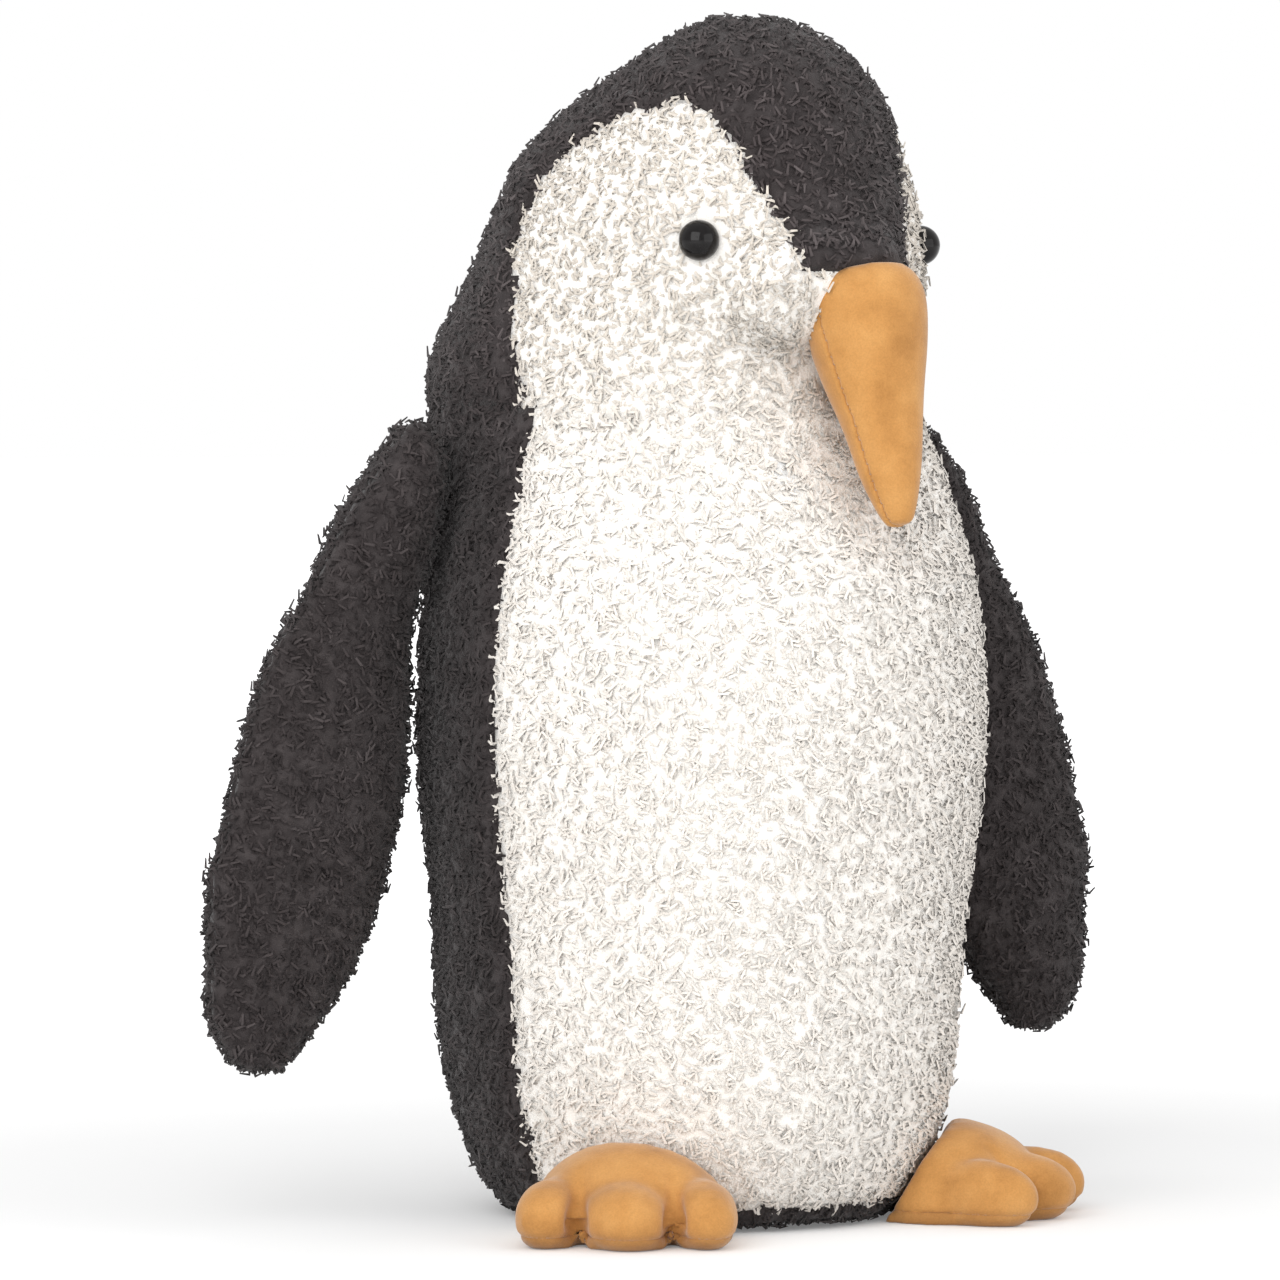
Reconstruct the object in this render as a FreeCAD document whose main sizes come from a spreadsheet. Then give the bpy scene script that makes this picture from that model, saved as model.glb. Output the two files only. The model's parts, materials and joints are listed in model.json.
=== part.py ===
import FreeCAD, Part
import Sketcher

import os
from math import sqrt

# A standing plush penguin, 254 mm tall, in millimetres: +Z up, its chest facing -Y, its left side at +X.
# The origin is on the table, in the middle of the flat base.
# Every panel of plush cloth is a shell as thick as the cloth with its pile, wrapped round its stuffing.

SIZES = [
    # cloths and clearances
    ("plush", 3.5, "plush cloth with its pile"),
    ("suede", 1.2, "suede cloth of beak and feet"),
    ("seam_gap", 0.5, "room between two pieces that move on each other"),
    # torso, from the table up: rise of each section over the one below, radius, and how far it sits back
    ("floor_radius", 43.0, "flat of the base"),
    ("heel_rise", 8.0, ""),
    ("heel_radius", 48.5, ""),
    ("low_rise", 16.0, ""),
    ("low_radius", 54.2, ""),
    ("hip_rise", 36.0, ""),
    ("hip_radius", 57.8, ""),
    ("belly_rise", 40.0, ""),
    ("belly_radius", 61.3, ""),
    ("chest_rise", 34.0, ""),
    ("chest_radius", 59.6, ""),
    ("chest_back", 1.5, ""),
    ("shoulder_rise", 22.0, ""),
    ("shoulder_radius", 55.2, ""),
    ("shoulder_back", 4.2, ""),
    ("neck_rise", 14.0, ""),
    ("neck_radius", 51.5, ""),
    ("neck_back", 7.0, ""),
    ("belly_half_angle", 80.0, "edge of the white front, from straight ahead"),
    # head: the same, with how much longer than wide each section is, and how far it sits forward
    ("nape_rise", 17.0, ""),
    ("nape_radius", 48.5, ""),
    ("nape_surplus", 1.5, ""),
    ("nape_forward", -5.0, ""),
    ("cheek_rise", 16.0, ""),
    ("cheek_radius", 45.0, ""),
    ("cheek_surplus", 3.5, ""),
    ("cheek_forward", 2.5, ""),
    ("brow_rise", 16.0, ""),
    ("brow_radius", 41.0, ""),
    ("brow_surplus", 1.5, ""),
    ("brow_forward", 5.5, ""),
    ("dome_rise", 15.0, ""),
    ("dome_radius", 33.0, ""),
    ("dome_surplus", 0.8, ""),
    ("dome_forward", 10.0, ""),
    ("crown_rise", 12.0, ""),
    ("crown_radius", 21.5, ""),
    ("crown_surplus", 0.5, ""),
    ("crown_forward", 13.0, ""),
    ("top_rise", 8.0, ""),
    ("top_radius", 7.0, ""),
    ("top_surplus", 0.0, ""),
    ("top_forward", 14.0, ""),
    ("head_turn", 8.0, "how far the head looks to its left at rest"),
    # panels of the head
    ("gusset_half_low", 15.4, "half width of the dark strip at the beak"),
    ("gusset_half_top", 35.0, "half width of the dark strip at the crown"),
    ("gusset_low_rise", 29.5, "foot of the dark strip, over the neck"),
    ("face_arch_radius", 30.0, "arch of the white cheek, seen from the side"),
    ("face_arch_rise", 35.0, "centre of that arch, over the neck"),
    ("face_arch_back", 7.0, "rearmost line of the white cheek"),
    ("face_neck_back", 2.0, "the same line down at the neck"),
    # eyes
    ("eye_radius", 4.2, ""),
    ("eye_place", 47.7, "degrees round the cheek from straight ahead"),
    ("eye_inset", 2.5, "centre of the bead, inside the cheek"),
    ("eye_rise", 2.0, "over the cheek section"),
    ("eye_azimuth", 47.0, "way the bead looks, from straight ahead"),
    ("eye_pitch", 8.0, "way the bead looks, above level"),
    ("eye_back", 0.5, "flat back of the bead, behind its centre"),
    ("eye_post_radius", 1.5, ""),
    ("eye_post_length", 7.0, "from the bead's centre"),
    ("washer_radius", 5.5, ""),
    ("washer_thick", 1.6, ""),
    ("washer_depth", 2.3, "from the bead's centre to the washer"),
    # beak: straight axis from its root in the face to its tip
    ("beak_inset", 2.6, "root of its axis, inside the front of the cheek"),
    ("beak_root_drop", 9.0, "under the cheek section"),
    ("beak_tilt", 14.0, "of the axis from upright"),
    ("beak_root_radius", 12.6, ""),
    ("beak_cap_rise", 4.4, "rounded top of the root over its axis"),
    ("beak_cheek_step", 9.0, "along the axis from the section above"),
    ("beak_cheek_radius", 12.4, ""),
    ("beak_waist_step", 13.0, ""),
    ("beak_waist_radius", 9.4, ""),
    ("beak_nib_step", 17.0, ""),
    ("beak_nib_radius", 6.0, ""),
    ("beak_end_step", 10.0, ""),
    ("beak_end_radius", 2.6, ""),
    # flippers: the root is round about its hinge
    ("flipper_root_radius", 9.0, ""),
    ("flipper_back", 12.0, "hinge behind the torso's axis"),
    ("flipper_rise", 5.0, "hinge over the shoulder section"),
    ("flipper_sweep", 3.0, "degrees that the blade leans back"),
    ("flipper_arm_step", 30.0, "down from the section above"),
    ("flipper_arm_out", 12.0, ""),
    ("flipper_arm_half", 15.5, ""),
    ("flipper_mid_step", 30.0, ""),
    ("flipper_mid_out", 18.9, ""),
    ("flipper_mid_half", 20.5, ""),
    ("flipper_low_step", 30.0, ""),
    ("flipper_low_out", 27.9, ""),
    ("flipper_low_half", 21.0, ""),
    ("flipper_tip_step", 23.0, ""),
    ("flipper_tip_out", 36.4, ""),
    ("flipper_tip_half", 15.5, ""),
    ("flipper_end_step", 13.0, ""),
    ("flipper_end_out", 37.4, ""),
    ("flipper_end_half", 5.0, ""),
    ("flipper_thick_half", 8.0, "half thickness of the stuffed blade"),
    ("flipper_end_thick_half", 4.4, "half thickness at its two ends"),
    # feet, each drawn with its hinge line at the origin and its toes at -Y
    ("foot_spread", 42.0, "hinge from the middle"),
    ("foot_forward", 36.5, "hinge ahead of the torso's axis"),
    ("foot_turnout", 36.0, ""),
    ("palm_centre", 2.0, "behind the hinge line"),
    ("palm_width", 21.0, "half"),
    ("palm_length", 20.0, "half"),
    ("palm_rise", 2.0, "centre above the table"),
    ("palm_height", 18.0, "half"),
    ("toe_reach", 13.0, "centre of the middle toe ahead of the hinge line"),
    ("toe_width", 9.0, "half, of the middle toe"),
    ("toe_length", 12.0, "half"),
    ("toe_rise", 6.0, "centre above the table"),
    ("toe_height", 7.2, "half"),
    ("side_toe_reach", 10.0, ""),
    ("side_toe_width", 6.9, "half"),
    ("side_toe_spread", 15.3, ""),
    ("side_toe_splay", 12.0, "degrees"),
    # bean pouch on the base
    ("pouch_radius", 28.0, ""),
    ("pouch_height", 12.0, ""),
    ("pouch_wall", 0.8, ""),
    ("pouch_round", 3.0, "rounding of its rims"),
    ("pellet_radius", 2.4, ""),
    ("pellet_height", 4.6, ""),
    ("pellet_gap", 0.4, ""),
]

FAR = 200.0  # reach of the cutting blocks, beyond any edge of the toy
SIDES = {"left": 1, "right": -1}
TORSO_LEVELS = ["heel", "low", "hip", "belly", "chest", "shoulder", "neck"]
LEANING_LEVELS = ["chest", "shoulder", "neck"]
HEAD_LEVELS = ["nape", "cheek", "brow", "dome", "crown", "top"]
LEVELS = TORSO_LEVELS + HEAD_LEVELS
DOME_LIFT = {"nape": 0.0, "cheek": 0.1, "brow": 0.3, "dome": 0.6, "crown": 0.8, "top": 1.0}
FLIPPER_LEVELS = ["arm", "mid", "low", "tip", "end"]
BEAK_LEVELS = ["cheek", "waist", "nib", "end"]

doc = FreeCAD.newDocument("plush_penguin")
sheet = doc.addObject("Spreadsheet::Sheet", "sizes")
for row, (alias, value, note) in enumerate(SIZES, start=1):
    sheet.set(f"A{row}", alias)
    sheet.set(f"B{row}", str(value))
    sheet.set(f"C{row}", note)
    sheet.setAlias(f"B{row}", alias)
doc.recompute()

subparts = {}


def size(alias):
    """A size read from the sheet."""
    return float(getattr(sheet, alias))


def bind(piece, **expressions):
    """Ties a piece's properties to expressions over the sheet: a__b stands for the property a.b."""
    for path, expression in expressions.items():
        piece.setExpression(path.replace("__", "."), expression)
    return piece


def cell(alias):
    return f"<<sizes>>.{alias}"


def height_of(level):
    """The height of one of the levels over the table: the sum of the rises up to it."""
    rises = LEVELS[: LEVELS.index(level) + 1]
    return "(" + " + ".join(cell(f"{name}_rise") for name in rises) + ")"


def drop_to(part, levels, level):
    """How far a section of the beak or of a flipper lies from its root: the sum of the steps down to it."""
    steps = levels[: levels.index(level) + 1]
    return "(" + " + ".join(cell(f"{part}_{name}_step") for name in steps) + ")"


def place(piece, x="0", y="0", z="0", angle=None, axis=(0, 0, 1)):
    """Binds where a piece stands and how far it is turned about one axis."""
    if angle is not None:
        piece.Placement = FreeCAD.Placement(FreeCAD.Vector(), FreeCAD.Rotation(FreeCAD.Vector(*axis), 1))
        bind(piece, Placement__Rotation__Angle=angle)
    return bind(piece, Placement__Base__x=x, Placement__Base__y=y, Placement__Base__z=z)


def keep(piece, name):
    """Takes a finished piece as a sub-part: its label names its file."""
    piece.Label = name
    subparts[name] = piece
    return piece


def ring(name, narrow, surplus, x="0", y="0", z="0", long_way="x"):
    """An upright loft's section: an ellipse, never narrower one way than the other."""
    section = doc.addObject("Part::Ellipse", name)
    bind(section, MajorRadius=f"{narrow} + {surplus}", MinorRadius=narrow)
    return place(section, x, y, z, angle="90" if long_way == "y" else None)


def loft(name, sections):
    """A solid skinned over its sections, in order."""
    solid = doc.addObject("Part::Loft", name)
    solid.Sections = sections
    solid.Solid = True
    return solid


def joined(name, *pieces):
    fused = doc.addObject("Part::MultiFuse", name)
    fused.Shapes = list(pieces)
    return fused


def cut(name, base, tool):
    made = doc.addObject("Part::Cut", name)
    made.Base, made.Tool = base, tool
    return made


def common(name, base, tool):
    made = doc.addObject("Part::Common", name)
    made.Base, made.Tool = base, tool
    return made


def block(name, x, y, z, length=f"{2 * FAR}", width=f"{2 * FAR}", height=f"{2 * FAR}"):
    """A cutting block by its lowest corner and its sides."""
    made = bind(doc.addObject("Part::Box", name), Length=length, Width=width, Height=height)
    return place(made, x, y, z)


def ellipsoid(name, across, along, up, x="0", y="0", z="0", angle=None):
    """An ellipsoid by its half width, half length and half height."""
    made = bind(doc.addObject("Part::Ellipsoid", name), Radius1=up, Radius2=across, Radius3=along)
    return place(made, x, y, z, angle)


def torso_form(name, grow):
    """The torso's outline, larger all round by grow, from the table to the neck."""
    sections = [ring(f"{name}_floor", f"{cell('floor_radius')} + {grow}", "0")]
    for level in TORSO_LEVELS:
        back = cell(f"{level}_back") if level in LEANING_LEVELS else "0"
        radius = f"{cell(f'{level}_radius')} + {grow}"
        sections.append(ring(f"{name}_{level}", radius, "0", y=back, z=height_of(level)))
    return loft(name, sections)


def head_form(name, shrink):
    """The head's outline from the neck up, smaller all round by shrink, looking straight ahead."""
    radius = f"{cell('neck_radius')} - {shrink}"
    start = f"{height_of('neck')} + {cell('seam_gap')}"
    sections = [ring(f"{name}_neck", radius, "0", y=cell("neck_back"), z=start, long_way="y")]
    for level in HEAD_LEVELS:
        radius = f"{cell(f'{level}_radius')} - {shrink} * {1 - DOME_LIFT[level] / 2}"
        height = f"{height_of(level)} - {shrink} * {DOME_LIFT[level]}"
        forward, surplus = f"-{cell(f'{level}_forward')}", cell(f"{level}_surplus")
        sections.append(ring(f"{name}_{level}", radius, surplus, y=forward, z=height, long_way="y"))
    return loft(name, sections)


def turned_with_head(name, piece):
    """Turns a piece that was made looking straight ahead about the neck's axis, as far as the head is."""
    made = doc.addObject("Part::Compound", name)
    made.Links = [piece]
    axis, turn = cell("neck_back"), cell("head_turn")
    return place(made, x=f"{axis} * sin({turn})", y=f"{axis} * (1 - cos({turn}))", angle=turn)


def in_head(name, piece):
    """Takes a piece that was made looking straight ahead as a sub-part of the turned head."""
    return keep(turned_with_head(name, piece), name)


def make_torso(outer, inner, right_half):
    """The torso's four panels round their stuffing, and the bean pouch that weighs the base down."""
    base_slab = block("base_slab", f"-{FAR}", f"-{FAR}", "0", height=cell("plush"))
    keep(common("base_panel", outer, base_slab), "base_panel")
    wall = cut("torso_wall", cut("torso_wall_block", outer, base_slab), inner)
    front = doc.addObject("Part::Cylinder", "belly_sector")
    front.Radius, front.Height = FAR, FAR
    bind(front, Angle=f"2 * {cell('belly_half_angle')}")
    place(front, angle=f"-90 - {cell('belly_half_angle')}")
    keep(common("belly_panel", wall, front), "belly_panel")
    back = cut("back_wall", wall, front)
    keep(common("back_panel_right", back, right_half), "back_panel_right")
    keep(cut("back_panel_left", back, right_half), "back_panel_left")
    pouch = make_pouch()
    keep(cut("torso_stuffing", cut("torso_fill", inner, base_slab), pouch), "torso_stuffing")


def make_pouch():
    """The cloth pouch with its pellets. Returns the room that it takes in the stuffing."""
    body = doc.addObject("PartDesign::Body", "pouch_body")
    sketch = plane_sketch(body, "pouch_outline", "XY_Plane")
    sketch.addGeometry(Part.Circle(FreeCAD.Vector(), FreeCAD.Vector(0, 0, 1), 1))
    sketch.addConstraint(centred(0))
    number = sketch.addConstraint(radius_of(0, size("pouch_radius")))
    sketch.setExpression(f"Constraints[{number}]", cell("pouch_radius"))
    pad = body.newObject("PartDesign::Pad", "pouch_pad")
    pad.Profile = sketch
    bind(pad, Length=cell("pouch_height"))
    doc.recompute()
    rims = [f"Edge{i}" for i, edge in enumerate(pad.Shape.Edges, 1) if isinstance(edge.Curve, Part.Circle)]
    rounded = body.newObject("PartDesign::Fillet", "pouch_rims")
    rounded.Base = (pad, rims)
    bind(rounded, Radius=cell("pouch_round"))
    body.Tip = rounded
    place(body, z=cell("plush"))
    room = doc.addObject("Part::Cylinder", "pouch_room")
    wall = cell("pouch_wall")
    bind(room, Radius=f"{cell('pouch_radius')} - {wall}", Height=f"{cell('pouch_height')} - 2 * {wall}")
    place(room, z=f"{cell('plush')} + {wall}")
    rounded_room = doc.addObject("Part::Fillet", "pouch_room_rims")
    rounded_room.Base = room
    doc.recompute()
    inside = size("pouch_round") - size("pouch_wall")
    edges = enumerate(room.Shape.Edges, 1)
    rounded_room.Edges = [(i, inside, inside) for i, edge in edges if isinstance(edge.Curve, Part.Circle)]
    keep(cut("bean_pouch", body, rounded_room), "bean_pouch")
    make_pellets()
    return body


def make_pellets():
    """Rings of round plastic pellets, packed like a honeycomb in layers."""
    pitch = 2 * size("pellet_radius") + size("pellet_gap")
    floor = size("plush") + size("pouch_wall") + size("pellet_gap")
    layer_rise = size("pellet_height") + size("pellet_gap")
    layers = int((size("pouch_height") - 2 * size("pouch_wall") - size("pellet_gap")) / layer_rise)
    rings = int((size("pouch_radius") - size("pouch_round") - size("pellet_radius")) / pitch)
    pellets = []
    for layer in range(layers):
        height = floor + layer * layer_rise
        for across in range(-rings, rings + 1):
            for along in range(-rings, rings + 1):
                if abs(across + along) <= rings:
                    spot = FreeCAD.Vector((across + along / 2) * pitch, along * pitch * sqrt(3) / 2, height)
                    pellets.append(Part.makeCylinder(size("pellet_radius"), size("pellet_height"), spot))
    bed = doc.addObject("Part::Feature", "bean_pellets")
    bed.Shape = Part.Compound(pellets)
    bed.Placement = FreeCAD.Placement()
    keep(bed, "bean_pellets")


def plane_sketch(body, name, role):
    """A sketch on one of a body's own origin planes."""
    sketch = body.newObject("Sketcher::SketchObject", name)
    plane = next(f for f in body.Origin.OriginFeatures if f.Role == role)
    sketch.AttachmentSupport = [(plane, "")]
    sketch.MapMode = "FlatFace"
    return sketch


def centred(curve):
    """Holds a circle's centre on the sketch's origin."""
    return Sketcher.Constraint("Coincident", curve, 3, -1, 1)


def radius_of(curve, value):
    return Sketcher.Constraint("Radius", curve, value)


def make_head(outer, inner, right_half):
    """The head's dark hood and white cheeks round their stuffing, and its eyes."""
    shell = cut("head_shell", outer, inner)
    low, top = cell("gusset_half_low"), cell("gusset_half_top")
    neck = height_of("neck")
    start = f"{neck} + {cell('gusset_low_rise')}"
    strip = doc.addObject("Part::Wedge", "gusset_wedge")
    bind(strip, Xmin=f"-{low}", Xmax=low, X2min=f"-{top}", X2max=top)
    bind(strip, Ymin="0", Ymax=f"{height_of('top')} - ({start})")
    bind(strip, Zmin=f"-{FAR}", Zmax=f"{FAR}", Z2min=f"-{FAR}", Z2max=f"{FAR}")
    place(strip, z=start, angle="90", axis=(1, 0, 0))
    nape = block("gusset_nape", f"-{low}", "0", "0", length=f"2 * {low}", width=f"{FAR}", height=start)
    gusset = joined("gusset_tool", strip, nape)
    crown = common("crown_cut", shell, gusset)
    sides = cut("head_sides", shell, gusset)
    arch = doc.addObject("Part::Cylinder", "face_arch")
    arch.Height = 2 * FAR
    bind(arch, Radius=cell("face_arch_radius"))
    behind = f"{cell('face_arch_back')} - {cell('face_arch_radius')}"
    arch_height = f"{neck} + {cell('face_arch_rise')}"
    place(arch, x=f"-{FAR}", y=behind, z=arch_height, angle="90", axis=(0, 1, 0))
    lower = doc.addObject("Part::Wedge", "face_lower")
    bind(lower, Xmin=f"-{FAR}", Xmax=f"{FAR}", X2min=f"-{FAR}", X2max=f"{FAR}")
    bind(lower, Ymin="0", Ymax=cell("face_arch_rise"))
    bind(lower, Zmin=f"-{cell('face_neck_back')}", Zmax=f"{FAR}")
    bind(lower, Z2min=f"-{cell('face_arch_back')}", Z2max=f"{FAR}")
    place(lower, z=neck, angle="90", axis=(1, 0, 0))
    face = joined("face_tool", arch, lower)
    faces = common("faces", sides, face)
    hood = cut("hood", sides, face)
    right = {"face": common("face_right", faces, right_half), "hood": common("hood_right", hood, right_half)}
    left = {"face": cut("face_left", faces, right_half), "hood": cut("hood_left", hood, right_half)}
    filling = inner
    for side, pieces in (("left", left), ("right", right)):
        bead, post, washer = make_eye(side)
        filling = cut(f"head_fill_{side}_post", filling, post)
        filling = cut(f"head_fill_{side}_washer", filling, washer)
        socket = cut(f"face_{side}_socket", pieces["face"], bead)
        in_head(f"face_panel_{side}", cut(f"face_{side}_bored", socket, post))
        in_head(f"hood_side_{side}", pieces["hood"])
    in_head("crown_gusset", crown)
    in_head("head_stuffing", filling)


def make_eye(side):
    """A domed bead on a post, locked behind the cloth by a washer. Returns the tools that make its room."""
    hand = SIDES[side]
    azimuth, round_cheek, inset = cell("eye_azimuth"), cell("eye_place"), cell("eye_inset")
    side_reach = f"({cell('cheek_radius')} - {inset})"
    front_reach = f"({cell('cheek_radius')} + {cell('cheek_surplus')} - {inset})"
    spot = {
        "x": f"{hand} * {side_reach} * sin({round_cheek})",
        "y": f"-{cell('cheek_forward')} - {front_reach} * cos({round_cheek})",
        "z": f"{height_of('cheek')} + {cell('eye_rise')}",
    }

    def aimed(piece, name):
        """Points a piece made along +Z the way that the eye looks."""
        level = doc.addObject("Part::Compound", f"{name}_pitched")
        level.Links = [piece]
        place(level, angle=f"90 - {cell('eye_pitch')}", axis=(1, 0, 0))
        turned = doc.addObject("Part::Compound", f"{name}_aimed")
        turned.Links = [level]
        return place(turned, **spot, angle=f"{hand} * {azimuth}")

    bead = doc.addObject("Part::Sphere", f"eye_{side}_bead")
    bind(bead, Radius=cell("eye_radius"), Angle1=f"-asin({cell('eye_back')} / {cell('eye_radius')})")
    post = doc.addObject("Part::Cylinder", f"eye_{side}_post")
    bind(post, Radius=cell("eye_post_radius"), Height=cell("eye_post_length"))
    place(post, z=f"-{cell('eye_post_length')}")
    disc = doc.addObject("Part::Cylinder", f"eye_{side}_disc")
    bind(disc, Radius=cell("washer_radius"), Height=cell("washer_thick"))
    place(disc, z=f"-{cell('washer_depth')} - {cell('washer_thick')}")
    whole = joined(f"eye_{side}_whole", bead, post)
    in_head(f"eye_{side}", aimed(whole, f"eye_{side}_whole"))
    in_head(f"eye_washer_{side}", aimed(cut(f"eye_{side}_washer", disc, post), f"eye_{side}_washer"))
    tools = (bead, post, disc)
    return [aimed(tool, f"eye_{side}_{word}") for tool, word in zip(tools, ("bead", "post", "disc"))]


def beak_form(name, shrink):
    """The beak's outline along its own axis, root up, smaller all round by shrink."""
    root = cell("beak_root_radius")
    sections = [ring(f"{name}_root", f"{root} * 0.78 - {shrink}", "0", z=cell("beak_cap_rise"))]
    sections.append(ring(f"{name}_brim", f"{root} - {shrink}", "0"))
    for level in BEAK_LEVELS:
        lift = shrink if level == "end" else "0"
        radius = f"{cell(f'beak_{level}_radius')} - {shrink} * 0.9"
        drop = drop_to("beak", BEAK_LEVELS, level)
        sections.append(ring(f"{name}_{level}", radius, "0", z=f"-{drop} + {lift}"))
    return loft(name, sections)


def make_beak(head_outer, clear_torso):
    """The beak's two suede panels round its stuffing, seated on the face and clear of the chest."""
    outer, inner = beak_form("beak_outer", "0"), beak_form("beak_inner", cell("suede"))
    shell = cut("beak_shell", outer, inner)
    front = block("beak_front", f"-{FAR}", f"-{2 * FAR}", f"-{FAR}")
    pieces = {
        "beak_upper": common("beak_upper_raw", shell, front),
        "beak_lower": cut("beak_lower_raw", shell, front),
        "beak_stuffing": inner,
    }
    for name, piece in pieces.items():
        stood = doc.addObject("Part::Compound", f"{name}_stood")
        stood.Links = [piece]
        front = f"({cell('cheek_forward')} + {cell('cheek_radius')} + {cell('cheek_surplus')})"
        height = f"{height_of('cheek')} - {cell('beak_root_drop')}"
        forward = f"{cell('beak_inset')} - {front}"
        place(stood, y=forward, z=height, angle=f"-{cell('beak_tilt')}", axis=(1, 0, 0))
        turned = turned_with_head(f"{name}_turned", cut(f"{name}_seated", stood, head_outer))
        keep(cut(name, turned, clear_torso), name)


def flipper_form(name, hand, shrink):
    """A flipper's outline hanging from its hinge at the origin, flat side to the front."""
    root, thick = cell("flipper_root_radius"), cell("flipper_thick_half")
    end_thick = cell("flipper_end_thick_half")
    sections = [
        ring(f"{name}_cap", f"{root} * 0.3", "0", z=f"{root} * 0.95 - {shrink}"),
        ring(f"{name}_root", f"{thick} - {shrink}", f"{root} - {thick}", x=f"{hand} * 0.5"),
    ]
    for level in FLIPPER_LEVELS:
        half, out = cell(f"flipper_{level}_half"), cell(f"flipper_{level}_out")
        narrow, less, lift = thick, shrink, "0"
        if level == "end":
            narrow, less, lift = end_thick, f"{shrink} * 0.9", shrink
        section = f"{name}_{level}"
        drop = f"{lift} - {drop_to('flipper', FLIPPER_LEVELS, level)}"
        sections.append(ring(section, f"{narrow} - {less}", f"{half} - {narrow}", f"{hand} * {out}", z=drop))
    return loft(name, sections)


def make_flipper(side, clear_torso):
    """One flipper: front and back plush panels round its stuffing, hung from the shoulder."""
    hand = SIDES[side]
    outer = flipper_form(f"flipper_{side}_outer", hand, "0")
    inner = flipper_form(f"flipper_{side}_inner", hand, cell("plush"))
    shell = cut(f"flipper_{side}_shell", outer, inner)
    ahead = block(f"flipper_{side}_ahead", f"-{FAR}", f"-{2 * FAR}", f"-{FAR}")
    pieces = {
        "front": common(f"flipper_{side}_front_raw", shell, ahead),
        "back": cut(f"flipper_{side}_back_raw", shell, ahead),
        "stuffing": inner,
    }
    set_back = f"({cell('flipper_back')} - {cell('shoulder_back')})"
    flank = f"sqrt({cell('shoulder_radius')}^2 - {set_back}^2)"
    hinge = f"{hand} * ({flank} + {cell('flipper_root_radius')} + {cell('seam_gap')})"
    for word, piece in pieces.items():
        hung = doc.addObject("Part::Compound", f"flipper_{side}_{word}_hung")
        hung.Links = [piece]
        place(
            hung, x=hinge, y=cell("flipper_back"), z=f"{height_of('shoulder')} + {cell('flipper_rise')}",
            angle=cell("flipper_sweep"), axis=(1, 0, 0),
        )
        name = f"flipper_{side}_{word}"
        keep(cut(name, hung, clear_torso), name)


def foot_form(name, shrink):
    """A three-toed foot's outline on the table, hinge line at the origin, smaller all round by shrink."""
    lobes = [
        ellipsoid(
            f"{name}_palm", f"{cell('palm_width')} - {shrink}", f"{cell('palm_length')} - {shrink}",
            f"{cell('palm_height')} - {shrink}", y=cell("palm_centre"), z=cell("palm_rise"),
        )
    ]
    for toe in (-1, 0, 1):
        reach = cell("side_toe_reach") if toe else cell("toe_reach")
        width = cell("side_toe_width") if toe else cell("toe_width")
        lobes.append(
            ellipsoid(
                f"{name}_toe_{'right middle left'.split()[toe + 1]}",
                f"{width} - {shrink}", f"{cell('toe_length')} - {shrink}",
                f"{cell('toe_height')} - {shrink}", x=f"{toe} * {cell('side_toe_spread')}",
                y=f"-{reach}", z=cell("toe_rise"), angle=f"{toe} * {cell('side_toe_splay')}",
            )
        )
    return joined(name, *lobes)


def make_foot(side, clear_torso, clear_lining):
    """One foot: a suede upper and sole round its stuffing, its rear shaped to the torso."""
    hand = SIDES[side]
    outer, inner = foot_form(f"foot_{side}_outer", "0"), foot_form(f"foot_{side}_inner", cell("suede"))
    below = block(f"foot_{side}_below", f"-{FAR}", f"-{FAR}", f"-{2 * FAR}")
    sole_slab = block(f"foot_{side}_slab", f"-{FAR}", f"-{FAR}", f"-{2 * FAR} + {cell('suede')}")
    above = cut(f"foot_{side}_above", outer, below)
    pieces = {
        "sole": (common(f"foot_{side}_sole_raw", above, sole_slab), clear_torso),
        "upper": (cut(f"foot_{side}_upper_raw", above, sole_slab), clear_torso),
        "stuffing": (cut(f"foot_{side}_fill", inner, sole_slab), clear_lining),
    }
    stood = {}
    for word, (piece, clear) in pieces.items():
        turned = doc.addObject("Part::Compound", f"foot_{side}_{word}_stood")
        turned.Links = [piece]
        place(
            turned, x=f"{hand} * {cell('foot_spread')}", y=f"-{cell('foot_forward')}",
            angle=f"{hand} * {cell('foot_turnout')}",
        )
        stood[word] = cut(f"foot_{side}_{word}_clear", turned, clear)
    keep(stood["sole"], f"foot_{side}_sole")
    keep(stood["stuffing"], f"foot_{side}_stuffing")
    keep(cut(f"foot_{side}_upper", stood["upper"], stood["stuffing"]), f"foot_{side}_upper")


def check_and_write():
    """Stops on any failed feature or broken solid, then writes one STEP file for each sub-part."""
    failed = [o.Name for o in doc.Objects if {"Invalid", "Error"} & set(o.State)]
    if failed:
        raise RuntimeError(f"features that failed: {failed}")
    for name, piece in subparts.items():
        shape = piece.Shape
        if shape.isNull() or not shape.isValid() or not shape.Solids or shape.Volume <= 0:
            raise RuntimeError(f"{name} is not a valid solid")
    os.makedirs("parts", exist_ok=True)
    for name, piece in subparts.items():
        piece.Shape.exportStep(f"parts/{name}.step")
        print(f"{name}: {len(piece.Shape.Solids)} solid(s), {piece.Shape.Volume / 1000:.2f} cm3")


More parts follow.
